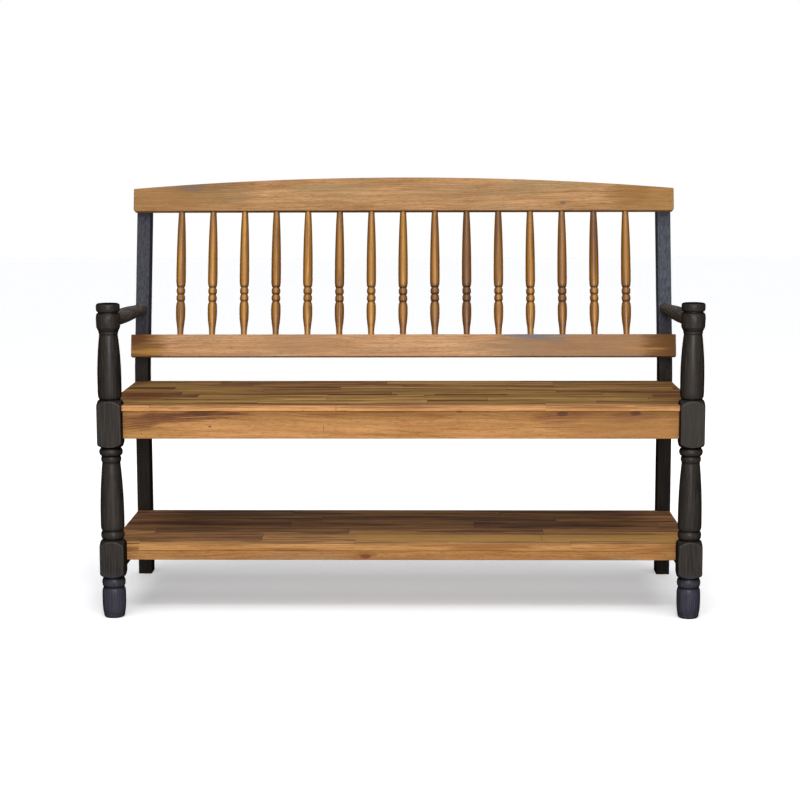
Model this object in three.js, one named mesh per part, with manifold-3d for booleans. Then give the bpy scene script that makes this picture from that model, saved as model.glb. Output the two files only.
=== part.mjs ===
// A deacons bench: turned front posts, leaning rear posts, a spindle back, a seat and a shelf.
// Millimetres, +Z up, +X along the bench, the back towards +Y. Left is the -X side.
// The origin is on the floor, under the middle of the bench.

import * as THREE from "three";
import { mergeVertices } from "three/addons/utils/BufferGeometryUtils.js";
import Module from "manifold-3d";

const wasm = await Module();
wasm.setup();

const degrees = Math.PI / 180;

// Driving dimensions of the whole bench
const POST_SPACING = 1220; // between the centres of the front posts
const FRAME_DEPTH = 406; // from the front post centres to the faces of the rear posts
const SEAT_HEIGHT = 455;
const SHELF_HEIGHT = 151;
const ARM_RISE = 177; // from the seat to the arm's centre line at the front post
const ARM_FALL = 11; // how much lower the arm's centre line is at the rear post
const LEAN = 13.4 * degrees; // of the back, from upright

// Fits and cutters
const FIT = 0.3; // clearance on every side of a joint or seat
const OVERRUN = 3; // how far a cutter runs past the face that it opens

// Front post, turned from a square
const post = {
  square: 50.8,
  sides: 16,
  baseRadius: 17,
  toeRadius: 22.4,
  toeHeight: 8,
  fullRadius: 25.1,
  beadRadius: 24.8,
  grooveRadius: 20.8,
  neckRadius: 19.1,
  ringRadius: 21.2,
  filletRadius: 20.4,
  shoulder: 12, // the height of the turned end under a block, from the groove out to its corners
  pommel: 15.5, // the same over a block
  ankleBead: 21,
  lowerBead: 19,
  ringHeight: 13,
  upperBead: 18,
  filletHeight: 4,
  seatMargin: 12.5,
  apronMargin: 18,
  shelfMargin: 17.5,
  stretcherMargin: 7.5,
};
const endBow_share = { radius: 0.6, height: 0.4 }; // where the curve of a block's end turns, from its groove
const footBelly_share = 0.58;
const footCrown_share = 0.76;
const lowerVase_shares = { bellyStart: 0.09, bellyEnd: 0.16, bend: 0.5, slope: 0.72, slopeRadius: 0.63 };
const upperVase_shares = { bellyStart: 0.13, bellyEnd: 0.28, bend: 0.56, slope: 0.78, slopeRadius: 0.66 };
const beadFullness_share = 0.75; // how far a cubic arc reaches towards its two handles
const beadSlope_share = 0.14; // how far up a bead its first handle lies, and down it the other

// The bulb that the arm enters, and the cap over it
const socket = {
  radius: 25.6,
  lowerRadius: 24.7,
  rimRadius: 20.4,
  chamfer: 9.5,
  below: 23,
  shoulder: 13,
  above: 16.5,
  grooveRadius: 20.8,
  groove: 2,
};
const cap = { radius: 25, height: 19, swell: 8.5, edge: 7, crown: 0.8, crownRadius: 19 };

// Rear post, sawn to a bend
const rear = {
  width: 30,
  depth: 48,
  outset: 12, // its outer face, past the front post's centre
  bendRise: 23, // above the seat
  bendReach: 45,
  topDrop: 8, // below the crest's end corner
};

// Arm, a turned dowel that tapers to the back, with a tenon at each end
const arm = {
  radius: 16.9,
  frontRadius: 16.3,
  rearRadius: 13.3,
  tenonRadius: 9,
  tenonLength: 20,
  rearTenonLength: 26,
  sides: 14,
};
const armBelly_share = 0.4;
const armTaper_share = 0.7;
const armTaperRadius_share = 0.42;

// The back: two rails, which overhang the rear posts' outer faces, and the spindles between them
const crest = { overhang: 6, endHeight: 53.5, archRise: 26, thickness: 20, cornerRadius: 7, ease: 1 };
const lowerRail = { overhang: 6.5, height: 52, rise: 32.5 };
const spindle = {
  count: 15,
  endGap: 76.1, // from a rear post's inner face to the middle of the spindle beside it
  span: 289,
  tenon: 15,
  sides: 10,
  endRadius: 7.1,
  lowerRadius: 11.1,
  upperRadius: 11.2,
  beadRadius: 10.3,
  grooveRadius: 7.4,
  beadHeight: 16.8,
};
const spindle_shares = {
  swell: 0.085,
  lowerBelly: 0.195,
  grooves: 0.265,
  upperBelly: 0.45,
  bellyEnd: 0.5,
  bend: 0.66,
  slope: 0.88,
  slopeRadius: 0.62,
};

// Seat and shelf boards, the rails that carry them and their tenons
const seat = { thickness: 12, frontSetback: 11, endSetback: 1, rearOverlap: 15, ease: 1.5 };
const apron = { height: 60, thickness: 20, setback: 24 };
const shelf = { thickness: 14, frontGap: 1, rearOverlap: 8, ease: 1 };
const lip = { height: 20, thickness: 20 };
const sideRail = { thickness: 24, drop: 23 }; // the drop of a shelf stretcher under the lip
const tenon = { length: 15, rearLength: 8, thickness: 9, shoulder: 5 };
const batten = { width: 40, height: 26 };
const battenPlace_share = 0.33; // of the half length of the bench
const cornerBlock = { reach: 62, height: 34, land: 14 };
const cornerScrew_share = 0.33; // of the block's reach

// Lag screws through the rear posts, and wood screws up into the boards
const lag = { radius: 3, headRadius: 6.5, headHeight: 6, grip: 13, sides: 8, sink: 1, inset: 12 };
const screw = {
  radius: 2,
  headRadius: 4.2,
  headHeight: 3,
  length: 36,
  tip: 4,
  bite: 8,
  well: 40,
  sides: 8,
};
const stretcherScrew_shares = { front: 0.2, rear: 0.8 };

const CURVE_STEPS = 3; // facets in one arc of a turning
const ARCH_STEPS = 12;
const BEND_STEPS = 5;

// Places that follow from the sizes above
const halfSpacing = POST_SPACING / 2;
const halfSquare = post.square / 2;
const postInner = halfSpacing - halfSquare;
const rearOuter = halfSpacing + rear.outset;
const rearInner = rearOuter - rear.width;
const rearCentre = rearOuter - rear.width / 2;
const boardEnd = rearOuter - seat.endSetback;
const railInner = rearCentre - sideRail.thickness / 2;
const seatUnder = SEAT_HEIGHT - seat.thickness;
const apronTop = seatUnder - FIT;
const apronBottom = apronTop - apron.height;
const apronFace = apron.setback - halfSquare;
const apronBack = apronFace + apron.thickness;
const rearRailBack = FRAME_DEPTH + seat.rearOverlap;
const rearRailFace = rearRailBack - apron.thickness;
const shelfUnder = SHELF_HEIGHT - shelf.thickness;
const shelfFront = halfSquare + shelf.frontGap;
const shelfBack = FRAME_DEPTH + shelf.rearOverlap;
const lipTop = shelfUnder - FIT;
const lipBottom = lipTop - lip.height;
const stretcherBottom = lipBottom - sideRail.drop;
const stretcherNotch = lipBottom - FIT;
const bendHeight = SEAT_HEIGHT + rear.bendRise;
const armHeight = SEAT_HEIGHT + ARM_RISE;
const crestRise = lowerRail.rise + lowerRail.height + spindle.span;
const postTopRise = crestRise + crest.endHeight - rear.topDrop;
const clearRadius = (halfSquare * Math.SQRT2) / Math.cos(Math.PI / post.sides) + FIT;

// The square blocks of a front post with their turned ends, from groove to groove
const lowerBlock = { bottom: stretcherBottom + post.stretcherMargin, top: SHELF_HEIGHT + post.shelfMargin };
const upperBlock = { bottom: apronBottom - post.apronMargin, top: SEAT_HEIGHT + post.seatMargin };

// Finishes
function wood(color, roughness) {
  return new THREE.MeshStandardMaterial({ color, roughness, metalness: 0 });
}

const blackStain = wood(0x33302e, 0.45);
const railWood = wood(0xb98c5f, 0.5);
const spindleWood = wood(0xa87845, 0.45);
const seatWood = wood(0x8f683d, 0.42);
const apronWood = wood(0xcc9659, 0.5);
const shelfWood = wood(0x6b4a2e, 0.45);
const shelfEdgeWood = wood(0xbc8545, 0.5);
const rawWood = wood(0xc6a377, 0.7);
const darkSteel = new THREE.MeshStandardMaterial({ color: 0x3b3b3d, roughness: 0.4, metalness: 1 });

// A closed geometry as a solid that can be cut and joined
function solidOf(geometry) {
  const bare = geometry.clone();
  bare.deleteAttribute("normal");
  bare.deleteAttribute("uv");
  const merged = mergeVertices(bare);
  const vertProperties = merged.getAttribute("position").array;
  const triVerts = new Uint32Array(merged.index.array);
  return new wasm.Manifold(new wasm.Mesh({ numProp: 3, vertProperties, triVerts }));
}

// A solid as a geometry again
function geometryOf(solid) {
  const mesh = solid.getMesh();
  const geometry = new THREE.BufferGeometry();
  geometry.setAttribute("position", new THREE.BufferAttribute(mesh.vertProperties, mesh.numProp));
  geometry.setIndex(new THREE.BufferAttribute(mesh.triVerts, 1));
  geometry.computeVertexNormals();
  return geometry;
}

function cut(geometry, cutters) {
  return geometryOf(cutters.reduce((left, cutter) => left.subtract(solidOf(cutter)), solidOf(geometry)));
}

function join(geometries) {
  return geometryOf(geometries.map(solidOf).reduce((sum, piece) => sum.add(piece)));
}

// A square-edged block between two values on each axis, in either order
function slab(xs, ys, zs) {
  const sizes = [xs, ys, zs].map(([from, to]) => Math.abs(to - from));
  const centre = [xs, ys, zs].map(([from, to]) => (from + to) / 2);
  return new THREE.BoxGeometry(...sizes).translate(...centre);
}

// A turning about Z from a path of radius and height
function turned(path, sides) {
  return new THREE.LatheGeometry(path.getPoints(CURVE_STEPS), sides).rotateX(Math.PI / 2);
}

// A plain round bar along Z
function bar(radius, bottom, top, sides) {
  const path = new THREE.Path();
  path.moveTo(0, bottom);
  path.lineTo(radius, bottom);
  path.lineTo(radius, top);
  path.lineTo(0, top);
  return turned(path, sides);
}

// A flat outline made a board that stands on z = 0, with its long edges eased
function board(shape, thickness, ease) {
  const settings = {
    depth: thickness - 2 * ease,
    bevelEnabled: true,
    bevelThickness: ease,
    bevelSize: ease,
    bevelOffset: -ease,
    bevelSegments: 1,
    curveSegments: ARCH_STEPS,
  };
  return new THREE.ExtrudeGeometry(shape, settings).translate(0, 0, ease);
}

function outline(points) {
  return new THREE.Shape(points.map(([x, y]) => new THREE.Vector2(x, y)));
}

function piece(name, geometry, material) {
  const mesh = new THREE.Mesh(geometry, material);
  mesh.name = name;
  return mesh;
}

// A half-round bead between two heights, standing out from the groove on each side of it
function addBead(path, grooveRadius, beadRadius, bottom, top) {
  const handle = grooveRadius + (beadRadius - grooveRadius) / beadFullness_share;
  const low = THREE.MathUtils.lerp(bottom, top, beadSlope_share);
  const high = THREE.MathUtils.lerp(top, bottom, beadSlope_share);
  path.lineTo(grooveRadius, bottom);
  path.bezierCurveTo(handle, low, handle, high, grooveRadius, top);
}

// A vase: a round base, a full belly and a long taper up to the neck
function addVase(path, shares, bottom, top) {
  const height = (share) => THREE.MathUtils.lerp(bottom, top, share);
  const slopeRadius = THREE.MathUtils.lerp(post.neckRadius, post.fullRadius, shares.slopeRadius);
  path.lineTo(post.grooveRadius, bottom);
  path.quadraticCurveTo(post.fullRadius, bottom, post.fullRadius, height(shares.bellyStart));
  path.lineTo(post.fullRadius, height(shares.bellyEnd));
  path.bezierCurveTo(
    post.fullRadius, height(shares.bend), slopeRadius, height(shares.slope), post.neckRadius, top,
  );
}

// The turned end of a square block: from the lower groove out to its corners, or in to the upper one
const endTurn = THREE.MathUtils.lerp(post.grooveRadius, clearRadius, endBow_share.radius);

function addShoulder(path, bottom) {
  const top = bottom + post.shoulder;
  path.lineTo(post.grooveRadius, bottom);
  path.quadraticCurveTo(endTurn, THREE.MathUtils.lerp(bottom, top, endBow_share.height), clearRadius, top);
}

function addPommel(path, top) {
  const bottom = top - post.pommel;
  path.lineTo(clearRadius, bottom);
  path.quadraticCurveTo(
    endTurn, THREE.MathUtils.lerp(top, bottom, endBow_share.height), post.grooveRadius, top,
  );
}

// The bulb round the arm's socket, grown by a clearance for the arm that is scribed to it
function addSocket(path, grow) {
  const bottom = armHeight - socket.below;
  const top = armHeight + socket.above;
  path.lineTo(socket.rimRadius + grow, bottom);
  path.lineTo(socket.lowerRadius + grow, bottom + socket.chamfer);
  path.lineTo(socket.radius + grow, top - socket.shoulder);
  path.quadraticCurveTo(socket.radius + grow, top, socket.grooveRadius + grow, top);
}

function frontPostPath() {
  const footTop = lowerBlock.bottom - post.ankleBead;
  const footBelly = footBelly_share * footTop;
  const lowerVaseBottom = lowerBlock.top + post.lowerBead;
  const ringTop = upperBlock.bottom - post.upperBead;
  const ringBottom = ringTop - post.ringHeight;
  const filletTop = armHeight - socket.below;
  const filletBottom = filletTop - post.filletHeight;
  const capBottom = armHeight + socket.above + socket.groove;
  const capTop = capBottom + cap.height;

  const path = new THREE.Path();
  path.moveTo(0, 0);
  path.lineTo(post.baseRadius, 0);
  path.quadraticCurveTo(post.toeRadius, 0, post.toeRadius, post.toeHeight);
  path.quadraticCurveTo(post.fullRadius, footBelly / 2, post.fullRadius, footBelly);
  path.lineTo(post.fullRadius, footCrown_share * footTop);
  path.quadraticCurveTo(post.fullRadius, footTop, post.grooveRadius, footTop);
  addBead(path, post.grooveRadius, post.beadRadius, footTop, lowerBlock.bottom);
  addShoulder(path, lowerBlock.bottom);
  addPommel(path, lowerBlock.top);
  addBead(path, post.grooveRadius, post.beadRadius, lowerBlock.top, lowerVaseBottom);
  addVase(path, lowerVase_shares, lowerVaseBottom, ringBottom);
  addBead(path, post.neckRadius, post.ringRadius, ringBottom, ringTop);
  addBead(path, post.neckRadius, post.beadRadius, ringTop, upperBlock.bottom);
  addShoulder(path, upperBlock.bottom);
  addPommel(path, upperBlock.top);
  addVase(path, upperVase_shares, upperBlock.top, filletBottom);
  path.lineTo(post.filletRadius, filletBottom);
  path.lineTo(post.filletRadius, filletTop);
  addSocket(path, 0);
  path.lineTo(socket.grooveRadius, capBottom);
  path.quadraticCurveTo(cap.radius, capBottom, cap.radius, capBottom + cap.swell);
  path.lineTo(cap.radius, capTop - cap.edge);
  path.quadraticCurveTo(cap.radius, capTop - cap.crown, cap.crownRadius, capTop - cap.crown);
  path.lineTo(0, capTop);
  return path;
}

// The arm's axis, from the front post's centre line into the rear post
function armAxis(side) {
  const rearHeight = armHeight - ARM_FALL;
  const rearFace = FRAME_DEPTH + (rearHeight - bendHeight) * Math.tan(LEAN);
  const start = new THREE.Vector3(side * halfSpacing, 0, armHeight);
  const end = new THREE.Vector3(side * rearCentre, rearFace, rearHeight);
  const direction = end.clone().sub(start).normalize();
  const turn = new THREE.Quaternion().setFromUnitVectors(new THREE.Vector3(0, 0, 1), direction);
  const matrix = new THREE.Matrix4().compose(start, turn, new THREE.Vector3(1, 1, 1));
  return { matrix, length: start.distanceTo(end) };
}

function tenonRange(bottom, top, grow) {
  return [bottom + tenon.shoulder - grow, top - tenon.shoulder + grow];
}

function spread(centre, width, grow) {
  return [centre - width / 2 - grow, centre + width / 2 + grow];
}

// The tenons of the rails that run along the bench, and of those that run back from the front posts
const apronTenonY = apronFace + apron.thickness / 2;
const rearTenonY = FRAME_DEPTH + seat.rearOverlap / 2;

// A mortise that runs back from the front post, or back into the rear post
function sideMortise(side, ys, bottom, top) {
  return slab(spread(side * rearCentre, tenon.thickness, FIT), ys, tenonRange(bottom, top, FIT));
}

function frontPost(side, sideName) {
  const top = armHeight + socket.above + socket.groove + cap.height;
  const blank = slab([-halfSquare, halfSquare], [-halfSquare, halfSquare], [-OVERRUN, top + OVERRUN]);
  const turning = turned(frontPostPath(), post.sides);
  const body = geometryOf(solidOf(blank).intersect(solidOf(turning)));
  body.translate(side * halfSpacing, 0, 0);

  const mortise = tenon.length + FIT;
  const apronMortise = slab(
    [side * (postInner - OVERRUN), side * (postInner + mortise)],
    spread(apronTenonY, tenon.thickness, FIT),
    tenonRange(apronBottom, apronTop, FIT),
  );
  const ys = [halfSquare - mortise, halfSquare + OVERRUN];
  const railMortise = sideMortise(side, ys, apronBottom, apronTop);
  const stretcherMortise = sideMortise(side, ys, stretcherBottom, stretcherNotch);
  const bore = bar(
    arm.tenonRadius + FIT, socket.radius - arm.tenonLength - FIT, socket.radius + OVERRUN, arm.sides,
  ).applyMatrix4(armAxis(side).matrix);
  return piece(
    "front_post_" + sideName,
    cut(body, [apronMortise, railMortise, stretcherMortise, bore]),
    blackStain,
  );
}

// The leaning frame of the back: its origin is on the rear posts' faces, at the bend
const leanMatrix = new THREE.Matrix4()
  .makeTranslation(0, FRAME_DEPTH, bendHeight)
  .multiply(new THREE.Matrix4().makeRotationX(-LEAN));

// Heights of the lag screws over the bend, in the lower rail and in the crest
const lagRises = [
  lowerRail.rise + lag.inset,
  lowerRail.rise + lowerRail.height - lag.inset,
  crestRise + lag.inset,
  postTopRise - lag.inset,
];

function lagPath(grow) {
  const tip = rear.depth - lag.sink + lag.grip;
  const path = new THREE.Path();
  path.moveTo(0, -grow);
  path.lineTo(lag.headRadius + grow, -grow);
  path.lineTo(lag.headRadius + grow, lag.headHeight);
  path.lineTo(lag.radius + grow, lag.headHeight);
  path.lineTo(lag.radius + grow, tip - lag.radius);
  path.lineTo(0, tip + grow);
  return path;
}

// A lag screw's turning laid across the leaning frame, its head sunk in the post's back
function acrossLean(geometry, side, rise) {
  return geometry.rotateX(Math.PI / 2).translate(side * rearCentre, rear.depth - lag.sink, rise);
}

function lagHole(side, rise) {
  const head = bar(lag.headRadius + FIT, -lag.sink - OVERRUN, lag.headHeight, lag.sides);
  return acrossLean(join([head, turned(lagPath(FIT), lag.sides)]), side, rise);
}

function rearPost(side, sideName) {
  const up = new THREE.Vector2(Math.sin(LEAN), Math.cos(LEAN));
  const across = new THREE.Vector2(Math.cos(LEAN), -Math.sin(LEAN));
  const frontBend = new THREE.Vector2(FRAME_DEPTH, bendHeight);
  const backBend = new THREE.Vector2(
    FRAME_DEPTH + rear.depth, bendHeight - rear.depth * Math.tan(LEAN / 2),
  );
  const frontTop = frontBend.clone().addScaledVector(up, postTopRise);
  const backTop = frontTop.clone().addScaledVector(across, rear.depth);
  const frontTurn = frontBend.clone().addScaledVector(up, rear.bendReach);
  const backTurn = backBend.clone().addScaledVector(up, rear.bendReach);
  const shape = new THREE.Shape();
  shape.moveTo(frontBend.x, 0);
  shape.lineTo(backBend.x, 0);
  shape.lineTo(backBend.x, backBend.y - rear.bendReach);
  shape.quadraticCurveTo(backBend.x, backBend.y, backTurn.x, backTurn.y);
  shape.lineTo(backTop.x, backTop.y);
  shape.lineTo(frontTop.x, frontTop.y);
  shape.lineTo(frontTurn.x, frontTurn.y);
  shape.quadraticCurveTo(frontBend.x, frontBend.y, frontBend.x, frontBend.y - rear.bendReach);
  const sideways = new THREE.Matrix4().makeBasis(
    new THREE.Vector3(0, 1, 0), new THREE.Vector3(0, 0, 1), new THREE.Vector3(1, 0, 0),
  );
  const settings = { depth: rear.width, bevelEnabled: false, curveSegments: BEND_STEPS };
  const body = new THREE.ExtrudeGeometry(shape, settings)
    .applyMatrix4(sideways)
    .translate(side * rearCentre - rear.width / 2, 0, 0);

  const ys = [FRAME_DEPTH - OVERRUN, FRAME_DEPTH + tenon.length + FIT];
  const crossMortise = slab(
    [side * (rearInner - OVERRUN), side * (rearInner + tenon.rearLength + FIT)],
    spread(rearTenonY, tenon.thickness, FIT),
    tenonRange(apronBottom, apronTop, FIT),
  );
  const { matrix, length } = armAxis(side);
  const bore = bar(
    arm.tenonRadius + FIT, length - rear.depth / 2, length + arm.rearTenonLength + FIT, arm.sides,
  ).applyMatrix4(matrix);
  const cutters = [
    sideMortise(side, ys, apronBottom, apronTop),
    sideMortise(side, ys, stretcherBottom, lipTop),
    crossMortise,
    bore,
    ...lagRises.map((rise) => lagHole(side, rise).applyMatrix4(leanMatrix)),
  ];
  return piece("rear_post_" + sideName, cut(body, cutters), blackStain);
}

// An arm is scribed to the bulb in front and to the leaning post behind
function armRail(side, sideName) {
  const { matrix, length } = armAxis(side);
  const start = socket.grooveRadius - OVERRUN;
  const belly = armBelly_share * length;
  const taper = armTaper_share * length;
  const taperRadius = THREE.MathUtils.lerp(arm.rearRadius, arm.radius, armTaperRadius_share);
  const path = new THREE.Path();
  path.moveTo(0, start);
  path.lineTo(arm.frontRadius, start);
  path.lineTo(arm.radius, belly);
  path.quadraticCurveTo(arm.radius, (belly + taper) / 2, taperRadius, taper);
  path.quadraticCurveTo(arm.rearRadius, (taper + length) / 2, arm.rearRadius, length);
  path.lineTo(arm.rearRadius, length + arm.rearRadius);
  path.lineTo(0, length + arm.rearRadius);
  const dowel = turned(path, arm.sides).applyMatrix4(matrix);

  const bulbPath = new THREE.Path();
  bulbPath.moveTo(0, armHeight - socket.below);
  addSocket(bulbPath, FIT);
  bulbPath.lineTo(0, armHeight + socket.above);
  const bulb = turned(bulbPath, post.sides).translate(side * halfSpacing, 0, 0);
  const behind = slab(
    [-halfSpacing - rear.depth, halfSpacing + rear.depth], [-FIT, rear.depth], [0, postTopRise],
  ).applyMatrix4(leanMatrix);

  const tongue = bar(
    arm.tenonRadius, socket.radius - arm.tenonLength, length + arm.rearTenonLength, arm.sides,
  ).applyMatrix4(matrix);
  return piece("arm_rail_" + sideName, join([cut(dowel, [bulb, behind]), tongue]), blackStain);
}

// The boards of the back stand in the leaning frame, their outlines seen from the front
const boardTurn = new THREE.Matrix4().makeBasis(
  new THREE.Vector3(1, 0, 0), new THREE.Vector3(0, 0, 1), new THREE.Vector3(0, -1, 0),
);
const boardMiddle = -FIT - crest.thickness / 2;

function spindlePlaces() {
  const reach = rearInner - spindle.endGap;
  return Array.from({ length: spindle.count }, (_, index) =>
    THREE.MathUtils.lerp(-reach, reach, index / (spindle.count - 1)),
  );
}

function backBoard(name, shape, rises, boreFrom, boreTo) {
  const body = board(shape, crest.thickness, crest.ease).applyMatrix4(boardTurn).translate(0, -FIT, 0);
  const bores = spindlePlaces().map((x) =>
    bar(spindle.endRadius + FIT, boreFrom, boreTo, spindle.sides).translate(x, boardMiddle, 0),
  );
  const holes = [-1, 1].flatMap((side) => rises.map((rise) => lagHole(side, rise)));
  return piece(name, cut(body, [...bores, ...holes]), railWood);
}

function crestRail() {
  const half = rearOuter + crest.overhang;
  const endTop = crestRise + crest.endHeight;
  const archRadius = (half * half + crest.archRise * crest.archRise) / (2 * crest.archRise);
  const halfAngle = Math.asin(half / archRadius);
  const upward = Math.PI / 2;
  const shape = new THREE.Shape();
  shape.moveTo(-half + crest.cornerRadius, crestRise);
  shape.lineTo(half - crest.cornerRadius, crestRise);
  shape.quadraticCurveTo(half, crestRise, half, crestRise + crest.cornerRadius);
  shape.lineTo(half, endTop);
  shape.absarc(
    0, endTop + crest.archRise - archRadius, archRadius, upward - halfAngle, upward + halfAngle,
  );
  shape.lineTo(-half, crestRise + crest.cornerRadius);
  shape.quadraticCurveTo(-half, crestRise, -half + crest.cornerRadius, crestRise);
  const boreTop = crestRise + spindle.tenon + FIT;
  return backBoard("crest_rail", shape, lagRises.slice(2), crestRise - OVERRUN, boreTop);
}

function lowerBackRail() {
  const half = rearOuter + lowerRail.overhang;
  const top = lowerRail.rise + lowerRail.height;
  const shape = outline([[-half, lowerRail.rise], [half, lowerRail.rise], [half, top], [-half, top]]);
  const boreBottom = top - spindle.tenon - FIT;
  return backBoard("lower_back_rail", shape, lagRises.slice(0, 2), boreBottom, top + OVERRUN);
}

function spindlePath() {
  const { endRadius, lowerRadius, upperRadius, beadRadius, grooveRadius, beadHeight } = spindle;
  const shares = spindle_shares;
  const bottom = lowerRail.rise + lowerRail.height;
  const top = bottom + spindle.span;
  const height = (share) => THREE.MathUtils.lerp(bottom, top, share);
  const grooves = height(shares.grooves);
  const middle = grooves + beadHeight;
  const upper = middle + beadHeight;
  const swell = height(shares.swell);
  const slopeRadius = THREE.MathUtils.lerp(endRadius, upperRadius, shares.slopeRadius);
  const path = new THREE.Path();
  path.moveTo(0, bottom - spindle.tenon);
  path.lineTo(endRadius, bottom - spindle.tenon);
  path.lineTo(endRadius, bottom);
  path.bezierCurveTo(
    endRadius, swell, lowerRadius, swell, lowerRadius, height(shares.lowerBelly),
  );
  path.quadraticCurveTo(lowerRadius, grooves, grooveRadius, grooves);
  addBead(path, grooveRadius, beadRadius, grooves, middle);
  addBead(path, grooveRadius, beadRadius, middle, upper);
  path.quadraticCurveTo(upperRadius, upper, upperRadius, height(shares.upperBelly));
  path.lineTo(upperRadius, height(shares.bellyEnd));
  path.bezierCurveTo(
    upperRadius, height(shares.bend), slopeRadius, height(shares.slope), endRadius, top,
  );
  path.lineTo(endRadius, top + spindle.tenon);
  path.lineTo(0, top + spindle.tenon);
  return path;
}

function backSpindle(x, index) {
  const geometry = turned(spindlePath(), spindle.sides).translate(x, boardMiddle, 0);
  return piece("spindle_" + String(index + 1).padStart(2, "0"), geometry, spindleWood);
}

function lagScrews(side, sideName) {
  const places = ["lower_rail_screw_low", "lower_rail_screw_high", "crest_screw_low", "crest_screw_high"];
  return lagRises.map((rise, index) => {
    const geometry = acrossLean(turned(lagPath(0), lag.sides), side, rise);
    return piece(places[index] + "_" + sideName, geometry, darkSteel);
  });
}

// A rail with a tenon on each end, along the bench
function crossRail(name, halfLength, tenonLength, ys, tenonY, material) {
  const zs = [apronBottom, apronTop];
  const body = slab([-halfLength + FIT, halfLength - FIT], ys, zs);
  const reach = halfLength + tenonLength;
  const tongue = slab([-reach, reach], spread(tenonY, tenon.thickness, 0), tenonRange(...zs, 0));
  return piece(name, join([body, tongue]), material);
}

// A rail between a front and a rear post
function sideRailBody(side, bottom, top) {
  return slab(
    spread(side * rearCentre, sideRail.thickness, 0),
    [halfSquare + FIT, FRAME_DEPTH - FIT],
    [bottom, top],
  );
}

function sideTenon(side, ys, bottom, top) {
  return slab(spread(side * rearCentre, tenon.thickness, 0), ys, tenonRange(bottom, top, 0));
}

const frontTenonYs = [halfSquare - tenon.length, halfSquare + tenon.length];
const rearTenonYs = [FRAME_DEPTH - tenon.length, FRAME_DEPTH + tenon.length];

function seatSideRail(side, sideName) {
  const solids = [
    sideRailBody(side, apronBottom, apronTop),
    sideTenon(side, frontTenonYs, apronBottom, apronTop),
    sideTenon(side, rearTenonYs, apronBottom, apronTop),
  ];
  return piece("seat_side_rail_" + sideName, join(solids), blackStain);
}

// A stretcher carries the shelf, and is notched in front under the rail that runs across it
function shelfStretcher(side, sideName) {
  const notch = slab(
    spread(side * rearCentre, rear.width, 0),
    [halfSquare - OVERRUN, shelfFront + lip.thickness + FIT],
    [stretcherNotch, lipTop + OVERRUN],
  );
  const notched = cut(sideRailBody(side, stretcherBottom, lipTop), [notch]);
  const joined = join([
    notched,
    sideTenon(side, frontTenonYs, stretcherBottom, stretcherNotch),
    sideTenon(side, rearTenonYs, stretcherBottom, lipTop),
  ]);
  const holes = shelfScrewPlaces(side).map((place) => screwHole(place, shelfUnder));
  return piece("shelf_stretcher_" + sideName, cut(joined, holes), blackStain);
}

// A wood screw points up, its head sunk under the piece that it holds
function screwPath(grow) {
  const path = new THREE.Path();
  path.moveTo(0, -grow);
  path.lineTo(screw.headRadius + grow, -grow);
  path.lineTo(screw.headRadius + grow, screw.headHeight);
  path.lineTo(screw.radius + grow, screw.headHeight);
  path.lineTo(screw.radius + grow, screw.length - screw.tip);
  path.lineTo(0, screw.length + grow);
  return path;
}

function screwAt(name, place, boardUnder) {
  const bottom = boardUnder + screw.bite - screw.length;
  return piece(name, turned(screwPath(0), screw.sides).translate(place.x, place.y, bottom), darkSteel);
}

function screwHole(place, boardUnder) {
  const bottom = boardUnder + screw.bite - screw.length;
  const well = bar(screw.headRadius + FIT, -screw.well, screw.headHeight, screw.sides);
  return join([well, turned(screwPath(FIT), screw.sides)]).translate(place.x, place.y, bottom);
}

function seatScrewPlace(side, end) {
  const inset = cornerBlock.land + cornerScrew_share * cornerBlock.reach;
  return new THREE.Vector2(
    side * (railInner - inset), end < 0 ? apronBack + inset : rearRailFace - inset,
  );
}

function shelfScrewPlaces(side) {
  return [stretcherScrew_shares.front, stretcherScrew_shares.rear].map(
    (share) => new THREE.Vector2(side * rearCentre, THREE.MathUtils.lerp(halfSquare, FRAME_DEPTH, share)),
  );
}

// A block in the corner of the seat frame, notched round the front post where it meets one
function cornerBlockPiece(side, end, name) {
  const outer = side * (railInner - FIT);
  const near = end < 0 ? apronBack + FIT : rearRailFace - FIT;
  const landX = side * cornerBlock.land;
  const landY = -end * cornerBlock.land;
  const farX = outer - side * cornerBlock.reach - landX;
  const farY = near - end * cornerBlock.reach + landY;
  const points = [[farX, near], [farX, near + landY], [outer - landX, farY], [outer, farY]];
  if (end < 0) {
    const postX = side * (postInner - FIT);
    points.push([outer, halfSquare + FIT], [postX, halfSquare + FIT], [postX, near]);
  } else {
    points.push([outer, near]);
  }
  const settings = { depth: cornerBlock.height, bevelEnabled: false };
  const body = new THREE.ExtrudeGeometry(outline(points), settings);
  body.translate(0, 0, apronTop - cornerBlock.height);
  return piece(name, cut(body, [screwHole(seatScrewPlace(side, end), seatUnder)]), rawWood);
}

// A board that is the same at both ends, from the points of its right half
function symmetricBoard(half, sizes, bottom) {
  const mirrored = half.map(([x, y]) => [-x, y]).reverse();
  const body = board(outline([...half, ...mirrored]), sizes.thickness, sizes.ease);
  return body.translate(0, 0, bottom);
}

function seatPanel() {
  const front = seat.frontSetback - halfSquare;
  const rearEdge = FRAME_DEPTH - FIT;
  const half = [
    [postInner - FIT, front],
    [postInner - FIT, halfSquare + FIT],
    [boardEnd, halfSquare + FIT],
    [boardEnd, rearEdge],
    [rearInner - FIT, rearEdge],
    [rearInner - FIT, rearRailBack],
  ];
  const body = symmetricBoard(half, seat, seatUnder);
  const holes = [-1, 1].flatMap((side) =>
    [-1, 1].map((end) => screwHole(seatScrewPlace(side, end), seatUnder)),
  );
  return piece("seat_panel", cut(body, holes), seatWood);
}

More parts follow.
